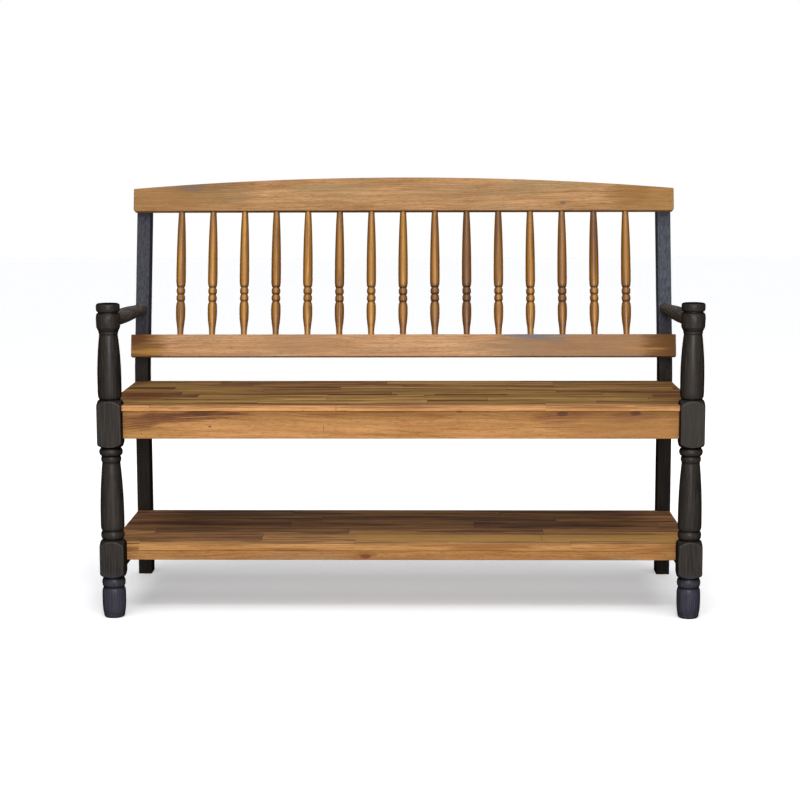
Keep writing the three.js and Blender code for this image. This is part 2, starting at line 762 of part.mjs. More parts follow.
function shelfPanel() {
  const rearEdge = FRAME_DEPTH - FIT;
  const half = [
    [boardEnd, shelfFront],
    [boardEnd, rearEdge],
    [rearInner - FIT, rearEdge],
    [rearInner - FIT, shelfBack],
  ];
  const body = symmetricBoard(half, shelf, shelfUnder);
  const holes = [-1, 1].flatMap((side) =>
    shelfScrewPlaces(side).map((place) => screwHole(place, shelfUnder)),
  );
  return piece("shelf_panel", cut(body, holes), shelfWood);
}

// The plain strips glued under the two boards
function shelfFrontRail() {
  const ys = [shelfFront, shelfFront + lip.thickness];
  return piece("shelf_front_rail", slab([-boardEnd, boardEnd], ys, [lipBottom, lipTop]), shelfEdgeWood);
}

function shelfRearRail() {
  const half = rearInner - FIT;
  const ys = [shelfBack - lip.thickness, shelfBack];
  return piece("shelf_rear_rail", slab([-half, half], ys, [lipBottom, lipTop]), rawWood);
}

function battenPiece(name, side, ys, height, top) {
  const xs = spread(side * battenPlace_share * halfSpacing, batten.width, 0);
  return piece(name, slab(xs, ys, [top - height, top]), rawWood);
}

const seatBattenYs = [apronBack + FIT, rearRailFace - FIT];
const shelfBattenYs = [shelfFront + lip.thickness + FIT, shelfBack - lip.thickness - FIT];

const frame = new THREE.Group();
const leaningBack = new THREE.Group();
leaningBack.applyMatrix4(leanMatrix);
leaningBack.add(crestRail(), lowerBackRail(), ...spindlePlaces().map(backSpindle));

for (const [sideName, side] of [["left", -1], ["right", 1]]) {
  frame.add(
    frontPost(side, sideName),
    rearPost(side, sideName),
    armRail(side, sideName),
    seatSideRail(side, sideName),
    shelfStretcher(side, sideName),
    battenPiece("seat_batten_" + sideName, side, seatBattenYs, batten.height, apronTop),
    battenPiece("shelf_batten_" + sideName, side, shelfBattenYs, lip.height, lipTop),
  );
  for (const [endName, end] of [["front_", -1], ["rear_", 1]]) {
    frame.add(
      cornerBlockPiece(side, end, "corner_block_" + endName + sideName),
      screwAt("seat_screw_" + endName + sideName, seatScrewPlace(side, end), seatUnder),
    );
  }
  const [frontPlace, rearPlace] = shelfScrewPlaces(side);
  frame.add(screwAt("shelf_screw_front_" + sideName, frontPlace, shelfUnder));
  frame.add(screwAt("shelf_screw_rear_" + sideName, rearPlace, shelfUnder));
  leaningBack.add(...lagScrews(side, sideName));
}

frame.add(
  leaningBack,
  seatPanel(),
  crossRail(
    "seat_front_rail", postInner, tenon.length, [apronFace, apronBack], apronTenonY, apronWood,
  ),
  crossRail(
    "seat_rear_rail", rearInner, tenon.rearLength, [rearRailFace, rearRailBack], rearTenonY, rawWood,
  ),
  shelfPanel(),
  shelfFrontRail(),
  shelfRearRail(),
);

// The origin goes to the middle of the whole bench, on the floor
frame.updateMatrixWorld(true);
const extent = new THREE.Box3().setFromObject(frame);
frame.position.y = -(extent.min.y + extent.max.y) / 2;

const bench = new THREE.Group();
bench.add(frame);
export default bench;
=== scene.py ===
"""Looks for a deacons bench: turned black posts and arms, a spindle back, a seat and a shelf.

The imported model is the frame. Sizes are in millimetres on the bench's own axes: +X along it, +Y
to its back, +Z up, and y = 0 through the front posts. Meshes are made in place, in metres.
"""
from __future__ import annotations

import logging
import math
import random
from dataclasses import dataclass, fields, replace
from enum import Enum
from typing import Any, Callable, Optional, Sequence, Union

import bmesh
import bpy
from mathutils import Euler, Matrix, Vector

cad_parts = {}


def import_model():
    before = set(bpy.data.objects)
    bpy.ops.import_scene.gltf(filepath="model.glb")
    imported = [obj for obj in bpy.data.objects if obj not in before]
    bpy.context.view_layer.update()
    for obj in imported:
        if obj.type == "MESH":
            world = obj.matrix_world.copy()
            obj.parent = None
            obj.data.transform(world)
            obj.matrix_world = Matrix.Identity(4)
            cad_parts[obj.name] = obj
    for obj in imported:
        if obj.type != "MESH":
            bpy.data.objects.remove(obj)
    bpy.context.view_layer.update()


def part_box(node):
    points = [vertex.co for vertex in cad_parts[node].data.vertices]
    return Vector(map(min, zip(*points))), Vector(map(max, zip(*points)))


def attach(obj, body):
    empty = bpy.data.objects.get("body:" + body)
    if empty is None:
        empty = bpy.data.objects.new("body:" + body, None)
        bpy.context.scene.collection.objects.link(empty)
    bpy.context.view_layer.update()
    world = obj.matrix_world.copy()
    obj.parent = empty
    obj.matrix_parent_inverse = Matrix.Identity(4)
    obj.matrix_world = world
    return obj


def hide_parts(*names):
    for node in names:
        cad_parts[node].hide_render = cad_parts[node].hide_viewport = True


MM = 0.001
FIT = 0.3
TURNING_SEED = 10.0
SIDES = ((-1, "left"), (1, "right"))
log = logging.getLogger("bench")

Number = Union[float, "Expr"]
Colour = tuple[float, float, float, float]
Pair = tuple[float, float]
Triple = tuple[float, float, float]


def stain(red: float, green: float, blue: float) -> Colour:
    """Turns a colour as the eye names it, 0 to 255, into the renderer's own.

    Args:
        red, green, blue: the colour's parts.
    Returns:
        The linear colour with full alpha.
    """
    parts = [value / 255 for value in (red, green, blue)]
    linear = [p / 12.92 if p <= 0.04045 else ((p + 0.055) / 1.055) ** 2.4 for p in parts]
    return (linear[0], linear[1], linear[2], 1.0)


def between(low: float, high: float, share: float) -> float:
    """Returns the number that lies at a share of the way from low to high."""
    return low + (high - low) * share


def on_line(start: Pair, end: Pair, share: float) -> Pair:
    """Returns the point that lies at a share of the way from start to end."""
    return between(start[0], end[0], share), between(start[1], end[1], share)


def label(name: str) -> str:
    """Returns the name that a node tree shows for one of its inputs."""
    return name.replace("_", " ").capitalize()


def maths(operation: str, flipped: bool = False) -> Callable[..., Expr]:
    """Makes the method of Expr that adds one kind of Math node.

    Args:
        operation: the node's operation.
        flipped: whether the other value goes in first.
    Returns:
        The method.
    """

    def add_node(self: Expr, *others: Number) -> Expr:
        """Adds the node and returns its value."""
        order = (*others, self) if flipped else (self, *others)
        return self.shop.node("ShaderNodeMath", dict(enumerate(order)), operation=operation)

    return add_node


class Expr:
    """A node's socket that Python's operators work on: each one adds a Math node."""

    def __init__(self, shop: NodeShop, socket: bpy.types.NodeSocket) -> None:
        """Keeps the socket, and the shop that adds nodes for it."""
        self.shop = shop
        self.socket = socket

    __add__, __radd__ = maths("ADD"), maths("ADD", flipped=True)
    __sub__, __rsub__ = maths("SUBTRACT"), maths("SUBTRACT", flipped=True)
    __mul__, __rmul__ = maths("MULTIPLY"), maths("MULTIPLY", flipped=True)
    __truediv__, __rtruediv__ = maths("DIVIDE"), maths("DIVIDE", flipped=True)
    __pow__, __abs__ = maths("POWER"), maths("ABSOLUTE")
    least, most = maths("MINIMUM"), maths("MAXIMUM")
    soft_least, soft_most = maths("SMOOTH_MIN"), maths("SMOOTH_MAX")
    sine, whole, over = maths("SINE"), maths("FLOOR"), maths("GREATER_THAN")

    def rise(self, low: float, high: float) -> Expr:
        """Goes smoothly from 0 at low to 1 at high.

        Args:
            low, high: the ends of the slope; low may be the larger one.
        Returns:
            The share, held between 0 and 1.
        """
        values = {0: self, 1: low, 2: high}
        if low > high:
            values = {0: self, 1: high, 2: low, 3: 1.0, 4: 0.0}
        settings = {"interpolation_type": "SMOOTHSTEP", "clamp": True}
        return self.shop.node("ShaderNodeMapRange", values, **settings)


class NodeShop:
    """Adds nodes to one tree and hands their sockets back as expressions."""

    COLUMN = 12

    def __init__(self, tree: bpy.types.NodeTree) -> None:
        """Keeps the tree that nodes are added to."""
        self.tree = tree

    def node(
        self, kind: str, values: Optional[dict[Any, Any]] = None, output: Any = 0, **settings: Any
    ) -> Expr:
        """Adds one node.

        Args:
            kind: the node's type.
            values: numbers, colours or expressions for its inputs, by name or index, with a list
                for an input that takes several.
            output: the output that is wanted.
            settings: its properties, which are set first; stops are a colour ramp's.
        Returns:
            That output.
        """
        made = self.tree.nodes.new(kind)
        column, row = divmod(len(self.tree.nodes), self.COLUMN)
        made.location = (220 * column, -180 * row)
        for name, value in settings.items():
            if name == "stops":
                self.set_stops(made.color_ramp, value)
            else:
                setattr(made, name, value)
        for key, value in (values or {}).items():
            for part in value if isinstance(value, list) else [value]:
                self.feed(made.inputs[key], part)
        return Expr(self, made.outputs[output] if len(made.outputs) else made.inputs[0])

    def feed(self, socket: bpy.types.NodeSocket, value: Any) -> None:
        """Links an expression to an input, or sets a plain value on it.

        Args:
            socket: the input.
            value: the expression, number, colour or text.
        """
        if isinstance(value, Expr):
            self.tree.links.new(value.socket, socket)
        else:
            socket.default_value = value

    @staticmethod
    def set_stops(ramp: bpy.types.ColorRamp, stops: Sequence[tuple[float, Colour]]) -> None:
        """Gives a colour ramp its stops.

        Args:
            ramp: the ramp.
            stops: place and colour of each, in order.
        """
        while len(ramp.elements) < len(stops):
            ramp.elements.new(1.0)
        for element, (place, colour) in zip(ramp.elements, stops):
            element.position = place
            element.color = colour

    def vector(self, x: Number, y: Number, z: Number) -> Expr:
        """Puts three values together."""
        return self.node("ShaderNodeCombineXYZ", {0: x, 1: y, 2: z})

    def parts(self, vector: Expr) -> tuple[Expr, ...]:
        """Takes a vector apart into its x, y and z."""
        first = self.node("ShaderNodeSeparateXYZ", {0: vector})
        return tuple(Expr(self, output) for output in first.socket.node.outputs)

    def noise(self, place: Expr, detail: float = 2.0, roughness: float = 0.5) -> Expr:
        """Makes soft random values, 0 to 1, about one unit wide."""
        values = {"Vector": place, "Scale": 1.0, "Detail": detail, "Roughness": roughness}
        return self.node("ShaderNodeTexNoise", values)

    def chance(self, x: Number, y: Number, z: Number) -> Expr:
        """Makes one random value, 0 to 1, for each place."""
        place = self.vector(x, y, z)
        return self.node("ShaderNodeTexWhiteNoise", {"Vector": place}, noise_dimensions="3D")

    def mix(self, share: Number, first: Any, second: Any) -> Expr:
        """Mixes two colours, with a share of the second."""
        values = {0: share, 6: first, 7: second}
        return self.node("ShaderNodeMix", values, 2, data_type="RGBA", clamp_factor=True)

    def layers(self, colour: Expr, *coats: tuple[Number, Any]) -> Expr:
        """Lays colours over a first one.

        Args:
            colour: the first colour.
            coats: the share and the colour of each further one, in order.
        Returns:
            The colour on top.
        """
        for share, coat in coats:
            colour = self.mix(share, colour, coat)
        return colour

    def ramp(self, share: Expr, stops: Sequence[tuple[float, Colour]]) -> Expr:
        """Picks a colour from a row of stops."""
        return self.node("ShaderNodeValToRGB", {0: share}, stops=stops)

    def attribute(self, name: str) -> Expr:
        """Reads a number that is kept on the piece's own mesh."""
        return self.node("ShaderNodeAttribute", None, "Fac", attribute_name=name)


class Grain(Enum):
    """The way that a piece's grain runs, as an order of its axes: along, up the face, in."""

    ALONG = (0, 2, 1)
    UPRIGHT = (2, 0, 1)
    BACKWARD = (1, 2, 0)
    FLAT = (0, 1, 2)


@dataclass(frozen=True)
class Lumber:
    """One piece of wood, in the row frame's millimetres: its middle, half sizes and lean."""

    middle: Triple
    half: Triple
    grain: Grain
    lean: float = 0.0
    seed: float = 0.0


class Mark(Enum):
    """What a named mark on a board is."""

    KNOT = "knot"
    PATCH = "patch"
    STREAK = "streak"
    STRIP = "strip"


@dataclass(frozen=True)
class Blemish:
    """A mark on a board's face, in millimetres from the board's middle."""

    along: float
    rise: float
    length: float
    height: float
    colour: Colour
    strength: float
    kind: Mark = Mark.PATCH
    slope: float = 0.0

    def mask(self, shop: NodeShop, along: Expr, rise: Expr) -> Expr:
        """Makes a soft mask over the mark.

        Args:
            shop: where the nodes go.
            along, rise: the place on the face.
        Returns:
            1 at its middle, falling to 0 outside it.
        """
        half_length, half_height = self.length / 2, self.height / 2
        across, up = along - self.along, rise - self.rise
        if self.kind is Mark.STRIP:
            near = abs(across).rise(half_length + 1.5, half_length)
            return near * abs(up).rise(half_height + 1, half_height)
        ragged = shop.noise(shop.vector(along * 0.02, rise * 0.25, 3.0)) - 0.5
        across = across / half_length
        if self.kind is not Mark.KNOT:
            torn = shop.noise(shop.vector(along * 0.012, rise * 0.24, 11.0), 3.0, 0.6) - 0.5
            across = across + torn * 1.3
        up = (up - across * (self.slope * half_length)) / half_height + ragged * 0.9
        reach = (across * across + up * up).rise(1.0, 0.25)
        if self.kind is Mark.STREAK:
            slanted = rise * 0.55 - along * (0.55 * self.slope)
            lines = shop.noise(shop.vector(along * 0.008, slanted, 5.0), 3.0)
            return reach * lines.rise(0.36, 0.56)
        return reach


@dataclass(frozen=True)
class Wave:
    """Soft noise drawn out along the grain, with its pitches in waves for each millimetre."""

    along: float
    across: float
    detail: float = 2.0
    roughness: float = 0.5
    shift: float = 0.0
    layer: float = 0.0


@dataclass(frozen=True)
class Place:
    """A point's place on a piece, in millimetres from its middle."""

    shop: NodeShop
    along: Expr
    rise: Expr
    depth: Expr

    def noise(self, wave: Wave) -> Expr:
        """Makes a wave's noise.

        Args:
            wave: its pitches, detail and offsets.
        Returns:
            The noise, 0 to 1.
        """
        along, depth = self.along * wave.along, self.depth * wave.across
        if wave.shift:
            along = along + wave.shift
        if wave.layer:
            depth = depth + wave.layer
        spot = self.shop.vector(along, self.rise * wave.across, depth)
        return self.shop.noise(spot, wave.detail, wave.roughness)


@dataclass
class Surface:
    """A material in the making."""

    shop: NodeShop
    material: bpy.types.Material

    @classmethod
    def start(cls, name: str) -> Surface:
        """Makes an empty material.

        Args:
            name: its name.
        Returns:
            Its surface, with no nodes yet.
        """
        material = bpy.data.materials.new(name)
        material.use_nodes = True
        material.node_tree.nodes.clear()
        return cls(NodeShop(material.node_tree), material)

    def place(self, lumber: Lumber) -> Place:
        """Gives a point's place on a piece of wood.

        Args:
            lumber: the piece.
        Returns:
            The place along the grain, up the face and into the piece.
        """
        values = {
            "Vector": self.shop.node("ShaderNodeTexCoord", output="Object"),
            "Location": tuple(value * MM for value in lumber.middle),
            "Rotation": (-lumber.lean, 0.0, 0.0),
            "Scale": (MM, MM, MM),
        }
        axes = self.shop.parts(self.shop.node("ShaderNodeMapping", values, vector_type="TEXTURE"))
        return Place(self.shop, *(axes[axis] for axis in lumber.grain.value))

    def sideways(self) -> Expr:
        """Returns how far a point of the surface faces to the left or the right, 0 to 1."""
        return abs(self.shop.parts(self.shop.node("ShaderNodeTexCoord", output="Normal"))[0])

    def varnish(self, level: float, fall: float = 2.0) -> Expr:
        """Makes a satin varnish's weight, which dies away where it is seen edge on."""
        facing = self.shop.node("ShaderNodeLayerWeight", {"Blend": 0.5}, "Facing")
        return (1 - facing) ** fall * level

    def finish(
        self,
        colour: Expr,
        roughness: Number,
        height: Expr,
        depth: float,
        coat: Number = 0.0,
        coat_roughness: float = 0.2,
        specular: float = 0.0,
        metallic: float = 0.0,
    ) -> bpy.types.Material:
        """Closes the material.

        Args:
            colour: the base colour.
            roughness: the base roughness.
            height: the relief, 0 to 1.
            depth: how deep the relief is, in millimetres.
            coat, coat_roughness: the varnish over it.
            specular: the level of the base's own gloss.
            metallic: 1 for bare metal.
        Returns:
            The material.
        """
        relief = {"Strength": 1.0, "Distance": depth * MM, "Height": height}
        values = {
            "Base Color": colour,
            "Roughness": roughness,
            "Normal": self.shop.node("ShaderNodeBump", relief),
            "Coat Weight": coat,
            "Coat Roughness": coat_roughness,
            "Specular IOR Level": specular,
            "Metallic": metallic,
        }
        shell = self.shop.node("ShaderNodeBsdfPrincipled", values)
        self.shop.node("ShaderNodeOutputMaterial", {"Surface": shell})
        return self.material


@dataclass(frozen=True)
class BlackStain:
    """Black stain under satin varnish, with the grain showing through, a painted bluish sheen over
    a span of its length and painted shade in the grooves of its turnings.
    """

    deep: Colour = stain(15, 12, 11)
    pale: Colour = stain(55, 48, 41)
    cool: Colour = stain(64, 63, 80)
    rubbed: Colour = stain(92, 82, 74)
    smoke: Colour = stain(52, 46, 40)
    soot: Colour = stain(14, 13, 13)
    pore: Colour = stain(20, 19, 19)
    coolness: float = 0.0
    cool_span: Pair = (0.0, 1.0)
    coat: float = 0.4
    coat_fall: float = 3.0
    seed_step: float = 310.0
    fibres: Wave = Wave(0.014, 0.36, 4.0, 0.7)
    streaks: Wave = Wave(0.004, 0.09)
    clouds: Wave = Wave(0.009, 0.02, 1.0)
    pores: Wave = Wave(0.05, 1.3)
    slot: str = "black_stain"

    def make(self, name: str, lumber: Lumber) -> bpy.types.Material:
        """Makes the finish for one piece.

        Args:
            name: the material's name.
            lumber: the piece.
        Returns:
            The material.
        """
        surface = Surface.start(name)
        shop, spot = surface.shop, surface.place(lumber)
        wood = replace(spot, along=spot.along + lumber.seed * self.seed_step)
        fibre, streak = wood.noise(self.fibres), wood.noise(self.streaks)
        cloud, pores = wood.noise(self.clouds), wood.noise(self.pores).rise(0.6, 0.72)
        light = fibre.rise(0.38, 0.68) * 0.75 + streak.rise(0.4, 0.75) * 0.15
        # Painted sheen: a bluish highlight painted into the colour over a span along the piece.
        painted_sheen_mask = spot.along.rise(*self.cool_span) * self.coolness
        worn = shop.attribute("worn") * fibre.rise(0.3, 0.6)
        colour = shop.layers(
            shop.mix(light, self.deep, self.pale),
            (cloud.rise(0.35, 0.7) * 0.35, self.smoke),
            (painted_sheen_mask * (0.4 + fibre.rise(0.36, 0.66) * 0.6), self.cool),
            (worn * 0.5, self.rubbed),
            # Painted shade: darker colour in the grooves and hollows of the turnings.
            (shop.attribute("hollow") * 0.8, self.soot),
            (pores * 0.5, self.pore),
        )
        roughness = 0.44 + fibre * 0.16 + worn * 0.1
        height = fibre * 0.6 + streak * 0.25 - pores * 0.4
        gloss = surface.varnish(self.coat, self.coat_fall)
        return surface.finish(colour, roughness, height, 0.2, gloss, coat_roughness=0.36)


@dataclass(frozen=True)
class BoardWood:
    """Sawn wood under oil: growth rings cut by the face, fibres, pores, knots and patches."""

    slot: str
    pale: Colour
    middle: Colour
    dark: Colour
    ring: Colour
    grey: Colour = stain(150, 135, 105)
    ring_pitch: float = 3.6
    pith_depth: float = 40.0
    pith_drop: float = 8.0
    tilt: float = 0.012
    wander: float = 13.0
    ring_strength: float = 0.3
    fleck: Colour = stain(84, 54, 32)
    fleck_strength: float = 0.4
    greyness: float = 0.3
    streakiness: float = 0.5
    edge: Colour = stain(110, 74, 44)
    edge_strength: float = 0.35
    edge_width: Pair = (2.6, 0.6)
    roughness: float = 0.42
    coat: float = 0.12
    seed_step: float = 530.0
    knot_pull: float = 1.6
    sways: Wave = Wave(0.0031, 0.006, 3.0, 0.55)
    jitters: Wave = Wave(0.004, 0.05)
    tones: Wave = Wave(0.0042, 0.035, 3.0, 0.6)
    figures: Wave = Wave(0.012, 0.17, 6.0, 0.76)
    fibres: Wave = Wave(0.013, 0.42, 4.0, 0.66)
    flecks: Wave = Wave(0.07, 0.5, 3.0, 0.65)
    mists: Wave = Wave(0.0065, 0.06, shift=40.0)
    wears: Wave = Wave(0.03, 0.1)
    blemishes: tuple[Blemish, ...] = ()

    def make(self, name: str, lumber: Lumber) -> bpy.types.Material:
        """Makes the finish for one board.

        Args:
            name: the material's name.
            lumber: the board.
        Returns:
            The material.
        """
        surface = Surface.start(name)
        shop, spot = surface.shop, surface.place(lumber)
        wood = replace(spot, along=spot.along + lumber.seed * self.seed_step)
        sway = (wood.noise(self.sways) - 0.5) * (self.wander * 2)
        lift = spot.rise + self.pith_drop - spot.along * self.tilt + sway
        inward = spot.depth + self.pith_depth
        radius = (lift * lift + inward * inward) ** 0.5
        masks = [(mark, mark.mask(shop, spot.along, spot.rise)) for mark in self.blemishes]
        for mark, mask in masks:
            if mark.kind is Mark.KNOT:
                radius = radius + mask * (mark.height * self.knot_pull)
        turns = radius / self.ring_pitch + wood.noise(self.jitters) * 1.4
        late = (turns * math.tau).sine().rise(-0.2, 1.0)
        figure, fibre = replace(wood, rise=lift).noise(self.figures), wood.noise(self.fibres)
        fleck = wood.noise(self.flecks).rise(0.54, 0.66)
        tone = wood.noise(self.tones) * 0.3 + figure * 0.5 + fibre * 0.2
        colour = shop.layers(
            shop.ramp(tone, [(0.42, self.dark), (0.5, self.middle), (0.58, self.pale)]),
            (late * self.ring_strength, self.ring),
            (wood.noise(self.mists).rise(0.52, 0.72) * self.greyness, self.grey),
            (figure.rise(0.5, 0.64) * self.streakiness, self.ring),
            (fleck * self.fleck_strength, self.fleck),
            *((mask * mark.strength, mark.colour) for mark, mask in masks),
            (self.edges(spot, lumber) * self.edge_strength, self.edge),
        )
        roughness = self.roughness + fibre * 0.14 + late * 0.04
        height = fibre * 0.5 + late * 0.3 - fleck * 0.45
        gloss = surface.varnish(self.coat)
        return surface.finish(colour, roughness, height, 0.16, gloss, coat_roughness=0.3)

    def edges(self, spot: Place, lumber: Lumber) -> Expr:
        """Finds the board's arrises, worn unevenly.

        Args:
            spot: the place on the board.
            lumber: the board.
        Returns:
            A mask that is 1 on them.
        """
        halves = [lumber.half[axis] for axis in lumber.grain.value]
        places = (spot.along, spot.rise, spot.depth)
        end, side, face = (half - abs(place) for half, place in zip(halves, places))
        nearest = end.least(side).most(end.most(side).least(face))
        return nearest.rise(*self.edge_width) * spot.noise(self.wears).rise(0.3, 0.62)


@dataclass(frozen=True)
class StripWood:
    """Boards glued up from narrow strips, whose butt joints are staggered from row to row."""

    slot: str
    tones: tuple[tuple[float, Colour], ...]
    strip_width: float
    first_width: float
    strip_length: float
    tone: float
    front_lift: float
    edge_upper: tuple[Colour, Colour]
    edge_lower: tuple[Colour, Colour]
    ruddy: Colour
    olive: Colour
    row_seed: float
    seam: Colour = stain(58, 36, 22)
    roughness: float = 0.4
    coat: float = 0.3
    strip_shift: Pair = (900.0, 300.0)
    seam_width: Pair = (0.9, 0.2)
    fibres: Wave = Wave(0.011, 0.3, 4.0, 0.68)
    bands: Wave = Wave(0.0034, 0.07, 4.0, 0.64)
    hues: Wave = Wave(0.0026, 0.06, 3.0, 0.6, shift=60.0)
    flecks: Wave = Wave(0.05, 1.0)
    dark_lines: Wave = Wave(0.0028, 0.055, 3.0, 0.7, layer=9.0)
    pale_lines: Wave = Wave(0.0032, 0.06, 3.0, 0.7, shift=30.0)
    top_marks: tuple[Blemish, ...] = ()
    edge_marks: tuple[Blemish, ...] = ()

    def make(self, name: str, lumber: Lumber) -> bpy.types.Material:
        """Makes the finish for one glued board.

        Args:
            name: the material's name.
            lumber: the board.
        Returns:
            The material.
        """
        surface = Surface.start(name)
        shop, spot = surface.shop, surface.place(lumber)
        along, back, up = spot.along, spot.rise, spot.depth
        half_depth = lumber.half[1]
        lane = (back + (half_depth + self.strip_width - self.first_width)) / self.strip_width
        row = lane.whole()
        start = shop.chance(row, self.row_seed, 1.7)
        stretch = shop.chance(row, self.row_seed, 9.2) * 0.5 + 0.8
        count = (along / self.strip_length) * stretch + start * 5 + 20
        block = count.whole()
        pick = shop.chance(row, block, self.row_seed + 4.1)
        second = shop.chance(row, block, self.row_seed + 8.6)
        gaps = (
            self.edge_gap(lane - row) * self.strip_width,
            self.edge_gap(count - block) * self.strip_length,
        )
        run, sideways = self.strip_shift
        wood = Place(shop, along + pick * run, back + second * sideways, up)
        fibre, band, hue = (wood.noise(wave) for wave in (self.fibres, self.bands, self.hues))
        fleck = wood.noise(self.flecks).rise(0.6, 0.72)
        # Painted light: the strips are lighter towards the front, for the shade that falls over
        # the rear of the seat and of the shelf.
        painted_front_light_share = ((half_depth - back) / (2 * half_depth)) ** 3 * self.front_lift
        strip = (pick - 0.5) * 0.5 + self.tone + (band - 0.5) * 2.0 + (fibre - 0.5) * 0.7
        top = shop.layers(
            shop.ramp(strip + painted_front_light_share, self.tones),
            (hue.rise(0.5, 0.6) * 0.55, self.olive),
            (hue.rise(0.48, 0.38) * 0.6, self.ruddy),
            (wood.noise(self.dark_lines).rise(0.52, 0.57) * 0.6, self.tones[0][1]),
            (wood.noise(self.pale_lines).rise(0.53, 0.58) * 0.55, self.tones[-2][1]),
            *self.marked(self.top_marks, shop, along, back),
        )
        light = (band * 0.6 + fibre * 0.4).rise(0.42, 0.58)
        edge = shop.layers(
            shop.mix(light, *self.edge_upper),
            (up.rise(1.5, -1.0), shop.mix(light, *self.edge_lower)),
            *self.marked(self.edge_marks, shop, along, up),
        )
        front = (back + half_depth).rise(1.4, 0.4)
        lane_seam, block_seam = (gap.rise(*self.seam_width) for gap in gaps)
        seam = lane_seam.most(block_seam) * (1 - front)
        colour = shop.layers(
            shop.mix(front, top, edge),
            (fibre.rise(0.52, 0.7) * 0.4, self.seam),
            (fleck * 0.4, self.seam),
            (seam * 0.6, self.seam),
        )
        roughness = self.roughness + fibre * 0.14
        height = fibre * 0.45 - seam * 0.5 - fleck * 0.3 + second * 0.2
        gloss = surface.varnish(self.coat)
        return surface.finish(colour, roughness, height, 0.16, gloss, coat_roughness=0.3)

    @staticmethod
    def marked(
        marks: Sequence[Blemish], shop: NodeShop, along: Expr, rise: Expr
    ) -> list[tuple[Expr, Colour]]:
        """Turns marks into coats of colour for a face."""
        return [(mark.mask(shop, along, rise) * mark.strength, mark.colour) for mark in marks]

    @staticmethod
    def edge_gap(share: Expr) -> Expr:
        """Returns how far a share of a strip is from the strip's nearer edge."""
        return share.least(1 - share)


class Tone(Enum):
    """The stains that a spindle's wood and its stripes come in, pale to dark."""

    HONEY = stain(188, 134, 54)
    AMBER = stain(174, 122, 48)
    RUSSET = stain(160, 109, 43)
    CHESTNUT = stain(145, 101, 48)
    WALNUT = stain(116, 76, 36)
    UMBER = stain(104, 66, 26)
    BARK = stain(88, 54, 24)
    COCOA = stain(80, 46, 20)
    PLUM = stain(64, 34, 24)


@dataclass(frozen=True)
class SpindleWood:
    """Varnished turned wood: each spindle has its own tones from its foot to its top, with painted
    shade on its flanks and in its grooves.
    """

    foot: Tone
    waist: Tone
    top: Tone
    stripe: Tone
    bead: Optional[Tone] = None
    stripe_strength: float = 0.75
    flank: Colour = stain(116, 72, 12)
    fleck: Colour = stain(82, 50, 28)
    shade: Colour = stain(60, 32, 16)
    heights: Triple = (0.12, 0.5, 0.85)
    bead_fade: float = 14.0
    seed_step: float = 410.0
    fibres: Wave = Wave(0.016, 0.4, 3.0, 0.6)
    bands: Wave = Wave(0.006, 0.13)
    flecks: Wave = Wave(0.07, 1.2)
    slot: str = "spindle_wood"

    def make(self, name: str, lumber: Lumber, beads: Pair) -> bpy.types.Material:
        """Makes the finish for one spindle.

        Args:
            name: the material's name.
            lumber: the spindle.
            beads: the lowest and highest place of its beads, from its middle.
        Returns:
            The material.
        """
        surface = Surface.start(name)
        shop, spot = surface.shop, surface.place(lumber)
        wood = replace(spot, along=spot.along + lumber.seed * self.seed_step)
        fibre, band = wood.noise(self.fibres), wood.noise(self.bands)
        fleck = wood.noise(self.flecks).rise(0.58, 0.7)
        half = lumber.half[2]
        share = (spot.along + half) / (2 * half) + (band - 0.5) * 0.3
        stops = zip(self.heights, (self.foot.value, self.waist.value, self.top.value))
        colour = shop.ramp(share, list(stops))
        if self.bead is not None:
            middle, reach = sum(beads) / 2, (beads[1] - beads[0]) / 2
            near = abs(spot.along - middle).rise(reach + self.bead_fade, reach)
            colour = shop.mix(near * 0.8, colour, self.bead.value)
        stripes = (band * 0.6 + fibre * 0.4).rise(0.49, 0.6)
        flank = shop.mix(0.35, self.flank, self.stripe.value)
        colour = shop.layers(
            colour,
            (stripes * self.stripe_strength, self.stripe.value),
            (fleck * 0.35, self.fleck),
            # Painted shade: the flanks that face left and right are darkened, and the whole
            # spindle a little, like sides turned away from a frontal light; the next line paints
            # shade into the grooves.
            (surface.sideways().rise(0.12, 0.8) * 0.8 + 0.1, flank),
            (shop.attribute("hollow") * 0.85, self.shade),
        )
        gloss = surface.varnish(1.0, 3.0)
        height = fibre * 0.5 - fleck * 0.3
        return surface.finish(colour, 0.32 + fibre * 0.14, height, 0.1, gloss, coat_roughness=0.34)


@dataclass(frozen=True)
class DarkSteel:
    """Blackened steel with a rubbed, faintly scratched face, its noises in waves for a metre."""

    dark: Colour = stain(52, 52, 55)
    rubbed: Colour = stain(96, 94, 92)
    grime: float = 240.0
    scratch: Pair = (2600.0, 300.0)
    slot: str = "dark_steel"

    def make(self, name: str) -> bpy.types.Material:
        """Makes the finish.

        Args:
            name: the material's name.
        Returns:
            The material.
        """
        surface = Surface.start(name)
        shop = surface.shop
        x, y, z = shop.parts(shop.node("ShaderNodeTexCoord", output="Object"))
        fine, coarse = self.scratch
        grime = shop.noise(shop.vector(*(axis * self.grime for axis in (x, y, z))), 3.0, 0.6)
        scratch = shop.noise(shop.vector(x * fine, y * coarse, z * coarse))
        colour = shop.mix(grime.rise(0.35, 0.7), self.dark, self.rubbed)
        gloss = {"specular": 0.5, "metallic": 1.0}
        return surface.finish(colour, 0.3 + grime * 0.3, scratch, 0.03, **gloss)


